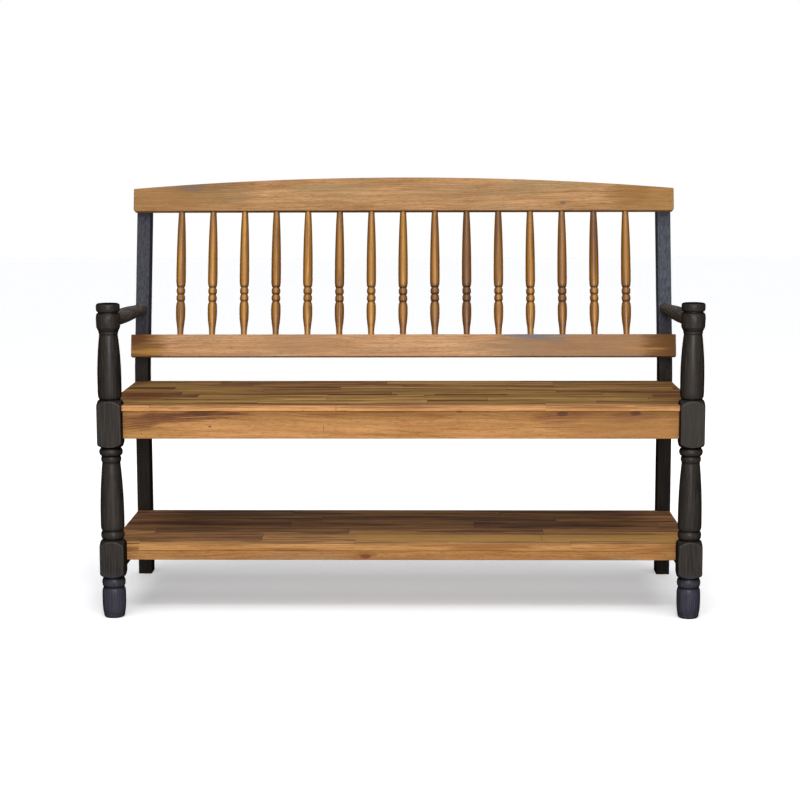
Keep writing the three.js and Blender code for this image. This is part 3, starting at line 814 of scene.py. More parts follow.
# The woods of the back, the seat and the shelf
CREST_WOOD = BoardWood(
    "back_rail_wood",
    pale=stain(200, 157, 112),
    middle=stain(181, 138, 95),
    dark=stain(152, 110, 70),
    ring=stain(130, 92, 54),
    grey=stain(146, 130, 96),
    greyness=0.45,
    blemishes=(
        Blemish(371, -21, 60, 16, stain(150, 112, 74), 0.6),
        Blemish(371, -21, 18, 11, stain(108, 90, 82), 0.8, Mark.KNOT),
        Blemish(-495, 20, 84, 36, stain(106, 106, 120), 0.8),
        # Painted shade: the crest darkens towards its left end, where less light falls.
        Blemish(-590, -10, 480, 240, stain(134, 98, 54), 0.55),
        Blemish(-470, 18, 260, 40, stain(120, 94, 66), 0.6, Mark.STREAK),
        Blemish(-400, 4, 170, 50, stain(128, 100, 66), 0.6, Mark.STREAK),
        Blemish(-180, 14, 260, 26, stain(150, 128, 92), 0.6, Mark.STREAK),
        Blemish(120, 6, 300, 40, stain(140, 116, 84), 0.5, Mark.STREAK),
        Blemish(300, 20, 260, 24, stain(138, 120, 88), 0.6, Mark.STREAK),
        Blemish(520, 2, 130, 60, stain(126, 94, 58), 0.6, Mark.STREAK),
        # Painted shade: the crest darkens towards its right end, where less light falls.
        Blemish(610, 0, 300, 240, stain(138, 96, 44), 0.55),
        Blemish(0, -39, 1300, 3.5, stain(96, 66, 44), 0.7),
    ),
)
LOWER_RAIL_WOOD = BoardWood(
    "back_rail_wood",
    pale=stain(204, 160, 116),
    middle=stain(188, 143, 101),
    dark=stain(161, 118, 79),
    ring=stain(144, 101, 66),
    grey=stain(146, 134, 112),
    blemishes=(
        Blemish(-640, 0, 200, 240, stain(112, 74, 34), 0.85),
        Blemish(-630, 16, 100, 34, stain(92, 50, 26), 0.7),
        Blemish(-590, -14, 120, 16, stain(186, 140, 70), 0.5),
        Blemish(-235, 8, 220, 80, stain(160, 122, 88), 0.5),
        Blemish(-245, 24, 30, 12, stain(140, 128, 112), 0.6),
        Blemish(390, 4, 480, 200, stain(136, 103, 75), 0.7),
        Blemish(285, 22, 130, 22, stain(104, 108, 118), 0.75, Mark.STREAK, -0.06),
        Blemish(335, 16, 120, 18, stain(112, 108, 104), 0.7, Mark.STREAK, -0.1),
        Blemish(322, 26, 170, 9, stain(106, 108, 116), 0.7),
        Blemish(230, -4, 260, 40, stain(150, 122, 90), 0.5, Mark.STREAK, -0.05),
        Blemish(640, 0, 210, 240, stain(104, 66, 32), 0.85),
        Blemish(560, -8, 150, 8, stain(176, 132, 66), 0.6),
    ),
)
APRON_WOOD = BoardWood(
    "apron_wood",
    pale=stain(206, 152, 98),
    middle=stain(190, 137, 84),
    dark=stain(160, 110, 62),
    ring=stain(148, 96, 52),
    grey=stain(160, 130, 76),
    ring_pitch=5.0,
    tilt=-0.02,
    blemishes=(
        Blemish(-455, 17, 330, 26, stain(100, 62, 48), 0.95, Mark.STREAK, 0.05),
        Blemish(-520, 12, 190, 30, stain(116, 76, 48), 0.8, Mark.STREAK, 0.09),
        Blemish(-550, -2, 100, 26, stain(112, 72, 46), 0.8, Mark.STREAK, 0.1),
        Blemish(-413, 28, 110, 8, stain(54, 30, 32), 0.95, Mark.STREAK, 0.03),
        Blemish(-400, -4, 9, 5, stain(104, 64, 46), 0.75, Mark.KNOT),
        Blemish(560, 0, 520, 200, stain(150, 106, 60), 0.45),
        Blemish(-161, -8, 2.2, 24, stain(120, 80, 48), 0.6),
        Blemish(124, 28, 18, 6, stain(110, 70, 50), 0.7),
        Blemish(335, 16, 130, 34, stain(128, 80, 58), 0.6, Mark.STREAK, 0.06),
        Blemish(340, 23, 30, 14, stain(96, 58, 52), 0.7, Mark.KNOT),
        Blemish(420, -8, 260, 30, stain(156, 112, 66), 0.6, Mark.STREAK, 0.08),
        Blemish(329, -6, 120, 3, stain(120, 78, 50), 0.6),
        Blemish(487, 17, 130, 30, stain(124, 78, 58), 0.6, Mark.STREAK, 0.06),
        Blemish(493, 24, 28, 12, stain(96, 60, 52), 0.7, Mark.KNOT),
        Blemish(550, 27, 70, 9, stain(150, 128, 66), 0.6),
    ),
)
SHELF_EDGE_WOOD = BoardWood(
    "shelf_edge_wood",
    pale=stain(190, 138, 84),
    middle=stain(174, 123, 72),
    dark=stain(150, 102, 56),
    ring=stain(126, 80, 44),
    ring_pitch=3.2,
    blemishes=(
        Blemish(-75, 2, 60, 16, stain(136, 84, 50), 0.7, Mark.STREAK),
        Blemish(-75, -2, 30, 12, stain(116, 62, 40), 0.85, Mark.KNOT),
        Blemish(590, 2, 60, 10, stain(160, 136, 66), 0.6),
    ),
)
RAW_WOOD = BoardWood(
    "raw_wood",
    pale=stain(214, 184, 140),
    middle=stain(200, 166, 120),
    dark=stain(180, 144, 100),
    ring=stain(170, 132, 88),
    greyness=0.15,
    roughness=0.62,
    coat=0.0,
)
SEAT_WOOD = StripWood(
    "seat_wood",
    tones=(
        (0.05, stain(78, 45, 35)),
        (0.25, stain(99, 66, 47)),
        (0.45, stain(120, 88, 57)),
        (0.68, stain(146, 114, 65)),
        (0.95, stain(180, 140, 88)),
    ),
    strip_width=46.0,
    first_width=40.0,
    strip_length=420.0,
    tone=0.47,
    front_lift=0.26,
    edge_upper=(stain(142, 94, 58), stain(196, 140, 94)),
    edge_lower=(stain(182, 122, 66), stain(220, 160, 98)),
    ruddy=stain(92, 54, 41),
    olive=stain(128, 106, 58),
    row_seed=2.0,
    top_marks=(
        Blemish(-85, -38, 150, 20, stain(86, 44, 36), 0.8, Mark.STRIP),
        Blemish(152, -38, 158, 20, stain(88, 46, 36), 0.8, Mark.STRIP),
        Blemish(-560, -60, 120, 150, stain(92, 52, 34), 0.55),
    ),
    edge_marks=(
        Blemish(-470, 0, 34, 5, stain(96, 62, 40), 0.8, Mark.STREAK),
        Blemish(-134, 0, 3, 26, stain(150, 98, 60), 0.6),
    ),
)
SHELF_WOOD = StripWood(
    "shelf_wood",
    tones=(
        (0.05, stain(76, 50, 42)),
        (0.3, stain(102, 72, 57)),
        (0.55, stain(130, 94, 69)),
        (0.8, stain(168, 122, 76)),
        (1.0, stain(192, 143, 88)),
    ),
    strip_width=70.0,
    first_width=34.0,
    strip_length=520.0,
    tone=0.5,
    front_lift=0.7,
    edge_upper=(stain(150, 98, 52), stain(192, 142, 88)),
    edge_lower=(stain(150, 98, 50), stain(190, 138, 78)),
    ruddy=stain(100, 64, 52),
    olive=stain(136, 104, 64),
    row_seed=7.0,
    top_marks=(
        Blemish(262, -124, 718, 66, stain(176, 136, 74), 0.8, Mark.STRIP),
        Blemish(-330, 150, 420, 70, stain(92, 80, 72), 0.35, Mark.STREAK),
    ),
)
SPINDLE_WOODS = (
    SpindleWood(Tone.RUSSET, Tone.HONEY, Tone.CHESTNUT, Tone.BARK),
    SpindleWood(Tone.HONEY, Tone.HONEY, Tone.RUSSET, Tone.UMBER),
    SpindleWood(Tone.AMBER, Tone.AMBER, Tone.HONEY, Tone.UMBER),
    SpindleWood(Tone.RUSSET, Tone.RUSSET, Tone.RUSSET, Tone.BARK),
    SpindleWood(Tone.HONEY, Tone.HONEY, Tone.HONEY, Tone.UMBER),
    SpindleWood(Tone.RUSSET, Tone.RUSSET, Tone.RUSSET, Tone.COCOA),
    SpindleWood(Tone.HONEY, Tone.AMBER, Tone.AMBER, Tone.UMBER),
    SpindleWood(Tone.RUSSET, Tone.HONEY, Tone.AMBER, Tone.UMBER, Tone.WALNUT),
    SpindleWood(Tone.CHESTNUT, Tone.AMBER, Tone.RUSSET, Tone.BARK, Tone.UMBER),
    SpindleWood(Tone.WALNUT, Tone.WALNUT, Tone.WALNUT, Tone.PLUM, Tone.BARK),
    SpindleWood(Tone.RUSSET, Tone.AMBER, Tone.UMBER, Tone.UMBER),
    SpindleWood(Tone.HONEY, Tone.AMBER, Tone.RUSSET, Tone.UMBER),
    SpindleWood(Tone.RUSSET, Tone.CHESTNUT, Tone.CHESTNUT, Tone.BARK, Tone.UMBER),
    SpindleWood(Tone.AMBER, Tone.AMBER, Tone.UMBER, Tone.COCOA),
    SpindleWood(Tone.RUSSET, Tone.RUSSET, Tone.RUSSET, Tone.UMBER),
)


def put(name: str, data: bpy.types.ID) -> bpy.types.Object:
    """Puts a new object into the scene.

    Args:
        name: its name.
        data: its mesh, lamp or camera.
    Returns:
        The object.
    """
    made = bpy.data.objects.new(name, data)
    bpy.context.scene.collection.objects.link(made)
    return made


def closed_mesh(shape: bmesh.types.BMesh, name: str) -> bpy.types.Mesh:
    """Turns an edited shape into a mesh.

    Args:
        shape: the shape, which is freed.
        name: the mesh's name.
    Returns:
        The mesh.
    """
    mesh = bpy.data.meshes.new(name)
    shape.to_mesh(mesh)
    shape.free()
    return mesh


def plain_mesh(source: bpy.types.Object, name: str) -> bpy.types.Object:
    """Applies an object's modifiers and makes the result a new plain object.

    Args:
        source: the object, which is removed.
        name: the new object's name.
    Returns:
        The new object, at the origin.
    """
    graph = bpy.context.evaluated_depsgraph_get()
    shown = source.evaluated_get(graph)
    mesh = bpy.data.meshes.new_from_object(shown, preserve_all_data_layers=True, depsgraph=graph)
    mesh.name = name
    old = source.data
    bpy.data.objects.remove(source)
    bpy.data.meshes.remove(old)
    return put(name, mesh)


def fit(piece: bpy.types.Object, slot: str, nodes: Sequence[str]) -> None:
    """Lets a finished piece stand for its nodes.

    Args:
        piece: the piece.
        slot: not used.
        nodes: the nodes that it replaces.
    """
    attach(piece, "root")
    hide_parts(*nodes)
    log.info("%s: %d faces", piece.name, len(piece.data.polygons))


@dataclass
class Profile:
    """The outline of a turning: radius and height in millimetres, from the bottom up."""

    points: list[Pair]
    crisp: float = 0.35
    stride: float = 9.0
    fullness: float = 0.75
    bead_slope: float = 0.14
    step: float = 0.02
    groove_window: float = 5.0
    groove_depth: float = 2.2
    groove_start: float = 0.1
    widest: float = 1.5

    def line(self, *ends: Pair) -> None:
        """Goes straight from point to point, with close points that keep each corner crisp.

        Args:
            ends: the points.
        """
        for end in ends:
            start = self.points[-1]
            length = math.dist(start, end)
            steps = max(1, math.ceil(length / self.stride))
            if length > 3 * self.crisp:
                near = self.crisp / length
                for share in (near, *(step / steps for step in range(1, steps)), 1 - near):
                    self.points.append(on_line(start, end, share))
            self.points.append(end)

    def curve(self, *controls: Pair, steps: int = 14) -> None:
        """Follows a curve of two or three further control points.

        Args:
            controls: the control points after the last point.
            steps: how many short lines it is made of.
        """
        hull = [self.points[-1], *controls]
        for step in range(1, steps + 1):
            level = hull
            while len(level) > 1:
                level = [on_line(a, b, step / steps) for a, b in zip(level, level[1:])]
            self.points.append(level[0])

    def bead(self, groove: float, crown: float, bottom: float, top: float) -> None:
        """Adds a half-round bead.

        Args:
            groove: the radius on each side of it.
            crown: its own radius.
            bottom, top: where it starts and ends.
        """
        handle = groove + (crown - groove) / self.fullness
        slope = self.bead_slope * (top - bottom)
        self.line((groove, bottom))
        self.curve((handle, bottom + slope), (handle, top - slope), (groove, top), steps=20)

    def cleaned(self) -> list[Pair]:
        """Keeps steps apart, so that no two points share a height.

        Returns:
            The points that are left.
        """
        kept: list[Pair] = []
        for radius, height in self.points:
            if kept and height - kept[-1][1] < self.step:
                if abs(radius - kept[-1][0]) < self.step:
                    continue
                height = kept[-1][1] + self.step
            kept.append((radius, height))
        return kept

    def hollows(self, points: Sequence[Pair]) -> list[float]:
        """Works out how far each point lies in a groove.

        Args:
            points: the outline.
        Returns:
            0 on swells to 1 in the deepest grooves.
        """
        found = []
        cap = points[0][0] * self.widest
        for radius, height in points:
            near = max(min(r, cap) for r, z in points if abs(z - height) < self.groove_window)
            share = (near - radius) / self.groove_depth - self.groove_start
            found.append(min(1.0, max(0.0, share)))
        return found

    def rod(self, name: str) -> bpy.types.Mesh:
        """Makes the rod that the turning tree works on.

        Args:
            name: the mesh's name.
        Returns:
            A line of points up the axis, in metres, each with its radius and how hollow it lies.
        """
        points = self.cleaned()
        mesh = bpy.data.meshes.new(name)
        edges = [(index, index + 1) for index in range(len(points) - 1)]
        mesh.from_pydata([(0, 0, height * MM) for _, height in points], edges, [])
        radii = [radius * MM for radius, _ in points]
        for key, values in (("radius_of_rod", radii), ("hollow", self.hollows(points))):
            mesh.attributes.new(key, "FLOAT", "POINT").data.foreach_set("value", values)
        return mesh


class ShapeTree:
    """A tree of nodes that makes a plain mesh from a few points and the sizes it is given."""

    NAME = ""
    INPUTS: tuple[tuple[str, str, Any], ...] = ()

    def __init__(self) -> None:
        """Builds the tree once; every piece of its kind uses it."""
        self.tree = bpy.data.node_groups.new(self.NAME, "GeometryNodeTree")
        self.keys = {name: self.add_input(*rest, name=name) for name, *rest in self.INPUTS}
        kind = "NodeSocketGeometry"
        self.tree.interface.new_socket(name="Geometry", in_out="OUTPUT", socket_type=kind)
        self.shop = NodeShop(self.tree)
        self.entry = self.shop.node("NodeGroupInput").socket.node
        real = self.shop.node("GeometryNodeRealizeInstances", {"Geometry": self.shape()})
        values = {"Geometry": real, "Material": self.given("finish")}
        self.shop.node("NodeGroupOutput", {0: self.shop.node("GeometryNodeSetMaterial", values)})

    def add_input(self, kind: str, default: Any, name: str) -> str:
        """Adds a named input to the tree.

        Args:
            kind: the kind of its socket.
            default: its value, if it has one of its own.
            name: its name.
        Returns:
            The socket's identifier.
        """
        kind = "NodeSocket" + kind
        made = self.tree.interface.new_socket(name=label(name), in_out="INPUT", socket_type=kind)
        if default is not None:
            made.default_value = default
        return made.identifier

    def given(self, name: str) -> Expr:
        """Returns the tree's own input."""
        return Expr(self.shop, self.entry.outputs[label(name)])

    def shape(self) -> Expr:
        """Returns the tree's shape, which each kind of tree draws in its own way."""
        raise NotImplementedError

    def apply(self, mesh: bpy.types.Mesh, name: str, **sizes: Any) -> bpy.types.Object:
        """Runs the tree on a mesh of points.

        Args:
            mesh: the points.
            name: the new piece's name.
            sizes: the tree's inputs.
        Returns:
            The finished piece, a plain mesh.
        """
        holder = put(name + "_points", mesh)
        modifier = holder.modifiers.new(self.NAME, "NODES")
        modifier.node_group = self.tree
        for key, value in sizes.items():
            modifier[self.keys[key]] = value
        return plain_mesh(holder, name)


class TurningTree(ShapeTree):
    """The node tree that turns a rod of points and radii into wood, square where it is wide."""

    NAME = "Turning"
    INPUTS = (
        ("geometry", "Geometry", None),
        ("sides", "Int", 64),
        ("half_square", "Float", 1.0),
        ("corner_softness", "Float", 0.003),
        ("crease_softness", "Float", 0.0012),
        ("unevenness", "Float", 0.00008),
        ("seed", "Float", 0.0),
        ("turn", "Rotation", None),
        ("place", "Vector", None),
        ("finish", "Material", None),
    )
    TINY = 0.0001
    CREASE_WEAR = 0.0022
    CORNER_WEAR = 0.0034

    def shape(self) -> Expr:
        """Draws the turning.

        Returns:
            The placed shape, with how worn it is at each point.
        """
        shop, given = self.shop, self.given
        curve = shop.node("GeometryNodeMeshToCurve", {0: given("geometry")})
        name = {"Name": "radius_of_rod"}
        radius = shop.node("GeometryNodeInputNamedAttribute", name, data_type="FLOAT")
        values = {"Resolution": given("sides"), "Radius": 1.0}
        circle = shop.node("GeometryNodeCurvePrimitiveCircle", values, mode="RADIUS")
        values = {"Curve": curve, "Profile Curve": circle, "Scale": radius, "Fill Caps": True}
        body = shop.node("GeometryNodeCurveToMesh", values)
        x, y, z = shop.parts(shop.node("GeometryNodeInputPosition"))
        wide, deep = abs(x), abs(y)
        reach = (x * x + y * y) ** 0.5
        side = wide.soft_most(deep, given("corner_softness")).most(self.TINY)
        square = given("half_square") * reach / side
        near = reach.soft_least(square, given("crease_softness"))
        bumps = shop.noise(shop.vector(x * 26 + given("seed"), y * 26, z * 11), 1.0) - 1.0
        share = (near + bumps * given("unevenness") * 2) / reach.most(self.TINY)
        crease = 1 - (abs(reach - square) / self.CREASE_WEAR).least(1.0)
        corner = 1 - (abs(wide - deep) / self.CORNER_WEAR).least(1.0)
        worn = crease.most(corner) * reach.over(square)
        values = {"Geometry": body, "Name": "worn", "Value": worn}
        kind = {"data_type": "FLOAT", "domain": "POINT"}
        marked = shop.node("GeometryNodeStoreNamedAttribute", values, **kind)
        values = {"Geometry": marked, "Position": shop.vector(x * share, y * share, z)}
        values = {"Geometry": shop.node("GeometryNodeSetPosition", values), "Shade Smooth": True}
        smooth = shop.node("GeometryNodeSetShadeSmooth", values)
        values = {"Geometry": smooth, "Translation": given("place"), "Rotation": given("turn")}
        return shop.node("GeometryNodeTransform", values)

    def turn(self, profile: Profile, name: str, node: str, slot: str, **sizes: Any) -> None:
        """Turns one piece.

        Args:
            profile: its outline.
            name, node: its name, and the node that it stands for.
            slot: handed on to fit, which does not use it.
            sizes: the tree's inputs.
        """
        fit(self.apply(profile.rod(name), name, **sizes), slot, [node])


@dataclass(frozen=True)
class Layout:
    """The places that the sub-assemblies share, in millimetres on the bench's axes."""

    axis_y: float
    half_spacing: float = 610.0
    post_half: float = 25.4
    depth: float = 406.0
    seat_top: float = 455.0
    shelf_top: float = 151.0
    arm_height: float = 632.0
    arm_fall: float = 11.0
    lean: float = math.radians(13.4)
    bend: float = 478.0
    rear_outer: float = 622.0
    rear_inner: float = 592.0
    rear_centre: float = 607.0
    rear_depth: float = 48.0
    lag_rises: tuple[float, ...] = (44.5, 72.5, 385.5, 407.0)
    crest_rise: float = 373.5
    rail_rise: float = 32.5
    rail_height: float = 52.0
    apron: Pair = (382.7, 442.7)
    stretcher_low: float = 93.7
    lip: Pair = (116.7, 136.7)
    board_end: float = 621.0
    side_rail_width: float = 24.0
    bearer_width: float = 40.0
    bearer_place: float = 201.3
    stretcher_shares: Pair = (0.2, 0.8)

    @property
    def row(self) -> Matrix:
        """The matrix from bench millimetres to the row frame's metres."""
        return Matrix.Diagonal((MM, MM, MM, 1)) @ Matrix.Translation((0, self.axis_y, 0))

    @property
    def leaning(self) -> Matrix:
        """The matrix from the leaning back's millimetres to the row frame's metres."""
        base = Matrix.Translation((0, self.depth, self.bend))
        return self.row @ base @ Matrix.Rotation(-self.lean, 4, "X")

    @property
    def frame_ys(self) -> Pair:
        """Where the pieces between a front post and a rear post start and end."""
        return (self.post_half + FIT, self.depth - FIT)

    @property
    def inner_end(self) -> float:
        """How far the pieces between the rear posts reach to each side."""
        return self.rear_inner - FIT

    def spot(self, matrix: Matrix, place: Sequence[float]) -> Triple:
        """Gives a place on a piece's own axes in the row frame's millimetres."""
        x, y, z = matrix @ Vector(place)
        return (x / MM, y / MM, z / MM)


def drill(board: bpy.types.Object, start: Vector, end: Vector, radius: float) -> None:
    """Cuts a round hole in a board's mesh.

    Args:
        board: the board.
        start, end: the hole's ends, in metres.
        radius: its radius, in metres.
    """
    axis = end - start
    shape = bmesh.new()
    size = {"radius1": radius, "radius2": radius, "depth": axis.length}
    bmesh.ops.create_cone(shape, cap_ends=True, segments=28, **size)
    turn = axis.to_track_quat("Z", "Y").to_matrix().to_4x4()
    shape.transform(Matrix.Translation((start + end) / 2) @ turn)
    mesh = closed_mesh(shape, "bit")
    bit = put("bit", mesh)
    cutter = board.modifiers.new("Hole", "BOOLEAN")
    cutter.operation = "DIFFERENCE"
    cutter.object = bit
    cutter.solver = "EXACT"
    graph = bpy.context.evaluated_depsgraph_get()
    cut = bpy.data.meshes.new_from_object(board.evaluated_get(graph), depsgraph=graph)
    board.modifiers.clear()
    old = board.data
    board.data = cut
    bpy.data.meshes.remove(old)
    bpy.data.objects.remove(bit)
    bpy.data.meshes.remove(mesh)


@dataclass
class Board:
    """A board with eased arrises: an outline that is carried from one end of a span to the other.

    The outline lies in the plane's first two axes and the span on its third. Each drill is a
    hole's start, end and radius.
    """

    name: str
    node: str
    wood: Union[BlackStain, BoardWood, StripWood]
    outline: Sequence[Pair]
    span: Pair
    seed: float
    plane: Grain = Grain.FLAT
    grain: Grain = Grain.ALONG
    ease: float = 1.0
    leaning: bool = False
    middle: Optional[Triple] = None
    drills: Sequence[tuple[Vector, Vector, float]] = ()

    def lumber(self, layout: Layout, matrix: Matrix) -> Lumber:
        """Describes the board for its finish.

        Args:
            layout: the shared places.
            matrix: from the board's millimetres to the row frame.
        Returns:
            Its middle, half sizes, lean and grain.
        """
        spans = dict(zip(self.plane.value, (*zip(*self.outline), self.span)))
        ends = [(min(spans[axis]), max(spans[axis])) for axis in range(3)]
        middle = self.middle or [(low + high) / 2 for low, high in ends]
        half = tuple((high - low) / 2 for low, high in ends)
        lean = layout.lean if self.leaning else 0.0
        return Lumber(layout.spot(matrix, middle), half, self.grain, lean, self.seed)

    def blank(self, matrix: Matrix) -> bpy.types.Mesh:
        """Makes the board before its arrises are eased.

        Args:
            matrix: from the board's millimetres to the row frame.
        Returns:
            The mesh.
        """
        shape = bmesh.new()
        rings = []
        for level in self.span:
            places = (dict(zip(self.plane.value, (a, b, level))) for a, b in self.outline)
            corners = [matrix @ Vector((place[0], place[1], place[2])) for place in places]
            rings.append([shape.verts.new(corner) for corner in corners])
            shape.faces.new(rings[-1])
        sides = list(zip(*rings))
        for (a, b), (c, d) in zip(sides, sides[1:] + sides[:1]):
            shape.faces.new((a, c, d, b))
        bmesh.ops.recalc_face_normals(shape, faces=shape.faces)
        return closed_mesh(shape, self.name)

    def make(self, layout: Layout) -> None:
        """Makes, dresses and fits the board.

        Args:
            layout: the shared places.
        """
        matrix = layout.leaning if self.leaning else layout.row
        made = put(self.name + "_blank", self.blank(matrix))
        title = f"{self.wood.slot}, {self.name}".replace("_", " ")
        finish = self.wood.make(title, self.lumber(layout, matrix))
        made.data.materials.append(finish)
        for start, end, radius in self.drills:
            drill(made, matrix @ start, matrix @ end, radius * MM)
        made.data.shade_smooth()
        bevel = made.modifiers.new("Eased arrises", "BEVEL")
        bevel.width = self.ease * MM
        bevel.segments = 3
        bevel.limit_method = "ANGLE"
        bevel.angle_limit = math.radians(28)
        bevel.use_clamp_overlap = True
        normals = made.modifiers.new("Flat faces", "WEIGHTED_NORMAL")
        normals.weight = 80
        fit(plain_mesh(made, self.name), self.wood.slot, [self.node])


def rectangle(xs: Pair, ys: Pair) -> list[Pair]:
    """Returns the four corners of an upright rectangle."""
    return [(xs[0], ys[0]), (xs[1], ys[0]), (xs[1], ys[1]), (xs[0], ys[1])]


def mirrored(half: Sequence[Pair]) -> list[Pair]:
    """Returns an outline from its right half."""
    return [*half, *((-x, y) for x, y in reversed(half))]


def around(middle: float, width: float) -> Pair:
    """Returns the ends of a width that lies evenly round a middle."""
    return (middle - width / 2, middle + width / 2)


def rounded(corner: Pair, before: Pair, after: Pair, steps: int = 6) -> list[Pair]:
    """Rounds a corner of an outline.

    Args:
        corner: the corner.
        before, after: where the curve leaves and joins the straight edges.
        steps: how many short lines it is made of.
    Returns:
        The curve's points.
    """
    curve = Profile([before])
    curve.curve(corner, after, steps=steps)
    return curve.points


@dataclass
class Assembly:
    """A sub-assembly of the bench."""

    layout: Layout
    turning: TurningTree

    def across(self, name: str, node: str, ys: Pair, zs: Pair, seed: float) -> None:
        """Makes a raw rail between the rear posts.

        Args:
            name, node: its name, and the node that it stands for.
            ys, zs: where it starts and ends.
            seed: what makes its grain its own.
        """
        xs = (-self.layout.inner_end, self.layout.inner_end)
        Board(name, node, RAW_WOOD, rectangle(xs, ys), zs, seed).make(self.layout)

    def bearer(self, kind: str, side: int, name: str, ys: Pair, zs: Pair, seed: float) -> None:
        """Makes a raw batten that runs from front to back.

        Args:
            kind: the board that it carries.
            side, name: which end of the bench.
            ys, zs: where it starts and ends.
            seed: what makes its grain its own.
        """
        xs = around(side * self.layout.bearer_place, self.layout.bearer_width)
        names = (f"{kind}_bearer_{name}", f"{kind}_batten_{name}")
        outline = rectangle(xs, ys)
        Board(*names, RAW_WOOD, outline, zs, seed + side, grain=Grain.BACKWARD).make(self.layout)


@dataclass
class FrontPost(Assembly):
    """A front post, turned from a square between its blocks, with a bulb for the arm and a cap."""

    base: float = 17.0
    toe: float = 22.4
    toe_height: float = 8.0
    full: float = 25.1
    crown: float = 24.8
    groove: float = 20.8
    neck: float = 19.1
    ring: float = 21.2
    fillet: float = 20.4
    shoulder: float = 12.0
    pommel: float = 15.5
    ankle_bead: float = 21.0
    lower_bead: float = 19.0
    ring_height: float = 13.0
    upper_bead: float = 18.0
    fillet_height: float = 4.0
    lower_block: Pair = (86.2, 168.5)
    upper_block: Pair = (364.7, 467.5)
    clear: float = 36.9
    end_bow: Pair = (0.6, 0.4)
    foot_belly: float = 0.58
    foot_crown: float = 0.76
    lower_vase: tuple[float, ...] = (0.09, 0.16, 0.5, 0.72, 0.63)
    upper_vase: tuple[float, ...] = (0.13, 0.28, 0.56, 0.78, 0.66)
    bulb: float = 25.6
    bulb_low: float = 24.7
    chamfer: float = 9.5
    bulb_below: float = 23.0
    bulb_above: float = 16.5
    bulb_shoulder: float = 13.0
    cap_gap: float = 2.0
    cap: float = 25.0
    cap_height: float = 19.0
    cap_swell: float = 8.5
    cap_edge: float = 7.0
    cap_crown: float = 0.8
    cap_flat: float = 19.0
    cap_tip: float = 0.6
    sides: int = 144
    middle: float = 335.0
    seeds: Pair = (0.2, 1.7)
    # The feet carry a painted bluish sheen.
    stained: BlackStain = BlackStain(coolness=0.75, cool_span=(-225.0, -270.0))

    def vase(self, path: Profile, shares: Sequence[float], bottom: float, top: float) -> None:
        """Adds a vase: a round base, a full belly and a long taper up to the neck.

        Args:
            path: the outline that it is added to.
            shares: where the belly starts and ends and the taper bends, and the taper's slope.
            bottom, top: where it starts and ends.
        """
        belly_start, belly_end, bend, slope = (between(bottom, top, s) for s in shares[:4])
        radius = between(self.neck, self.full, shares[4])
        path.line((self.groove, bottom))
        path.curve((self.full, bottom), (self.full, belly_start), steps=12)
        path.line((self.full, belly_end))
        path.curve((self.full, bend), (radius, slope), (self.neck, top), steps=30)

    def block(self, path: Profile, ends: Pair) -> None:
        """Adds a square block with its turned ends, from groove to groove.

        Args:
            path: the outline that it is added to.
            ends: where it starts and ends.
        """
        bottom, top = ends
        out, up = self.end_bow
        turn = between(self.groove, self.clear, out)
        low, high = bottom + self.shoulder, top - self.pommel
        path.line((self.groove, bottom))
        path.curve((turn, bottom + up * self.shoulder), (self.clear, low), steps=30)
        path.line((self.clear, high))
        path.curve((turn, top - up * self.pommel), (self.groove, top), steps=34)

    def profile(self) -> Profile:
        """Draws the whole outline, foot to cap.

        Returns:
            The outline.
        """
        (low, low_end), (high, high_end) = self.lower_block, self.upper_block
        foot_top = low - self.ankle_bead
        belly = self.foot_belly * foot_top
        vase_low = low_end + self.lower_bead
        ring_top = high - self.upper_bead
        ring_low = ring_top - self.ring_height
        fillet_top = self.layout.arm_height - self.bulb_below
        fillet_low = fillet_top - self.fillet_height
        bulb_top = self.layout.arm_height + self.bulb_above
        cap_low = bulb_top + self.cap_gap
        cap_top = cap_low + self.cap_height
        crown = cap_top - self.cap_crown
        path = Profile([(self.base, 0.0)])
        path.curve((self.toe, 0.0), (self.toe, self.toe_height), steps=8)
        path.curve((self.full, belly / 2), (self.full, belly), steps=14)
        path.line((self.full, self.foot_crown * foot_top))
        path.curve((self.full, foot_top), (self.groove, foot_top), steps=12)
        path.bead(self.groove, self.crown, foot_top, low)
        self.block(path, self.lower_block)
        path.bead(self.groove, self.crown, low_end, vase_low)
        self.vase(path, self.lower_vase, vase_low, ring_low)
        path.bead(self.neck, self.ring, ring_low, ring_top)
        path.bead(self.neck, self.crown, ring_top, high)
        self.block(path, self.upper_block)
        self.vase(path, self.upper_vase, high_end, fillet_low)
        path.line((self.fillet, fillet_low), (self.fillet, fillet_top), (self.fillet, fillet_top))
        path.line((self.bulb_low, fillet_top + self.chamfer))
        path.line((self.bulb, bulb_top - self.bulb_shoulder))
        path.curve((self.bulb, bulb_top), (self.groove, bulb_top), steps=12)
        path.line((self.groove, cap_low))
        path.curve((self.cap, cap_low), (self.cap, cap_low + self.cap_swell), steps=10)
        path.line((self.cap, cap_top - self.cap_edge))
        path.curve((self.cap, crown), (self.cap_flat, crown), steps=10)
        path.line((self.cap_tip, cap_top))
        return path

    def make(self) -> None:
        """Makes and dresses both front posts."""
        layout, outline, half = self.layout, self.profile(), self.layout.post_half
        for (side, name), seed in zip(SIDES, self.seeds):
            x = side * layout.half_spacing
            middle = layout.spot(layout.row, (x, 0, self.middle))
            lumber = Lumber(middle, (half, half, self.middle), Grain.UPRIGHT, seed=seed)
            self.turning.turn(
                outline,
                "turned_front_post_" + name,
                "front_post_" + name,
                self.stained.slot,
                sides=self.sides,
                half_square=half * MM,
                seed=seed * TURNING_SEED,
                place=layout.row @ Vector((x, 0, 0)),
                finish=self.stained.make("black stain, front post " + name, lumber),
            )


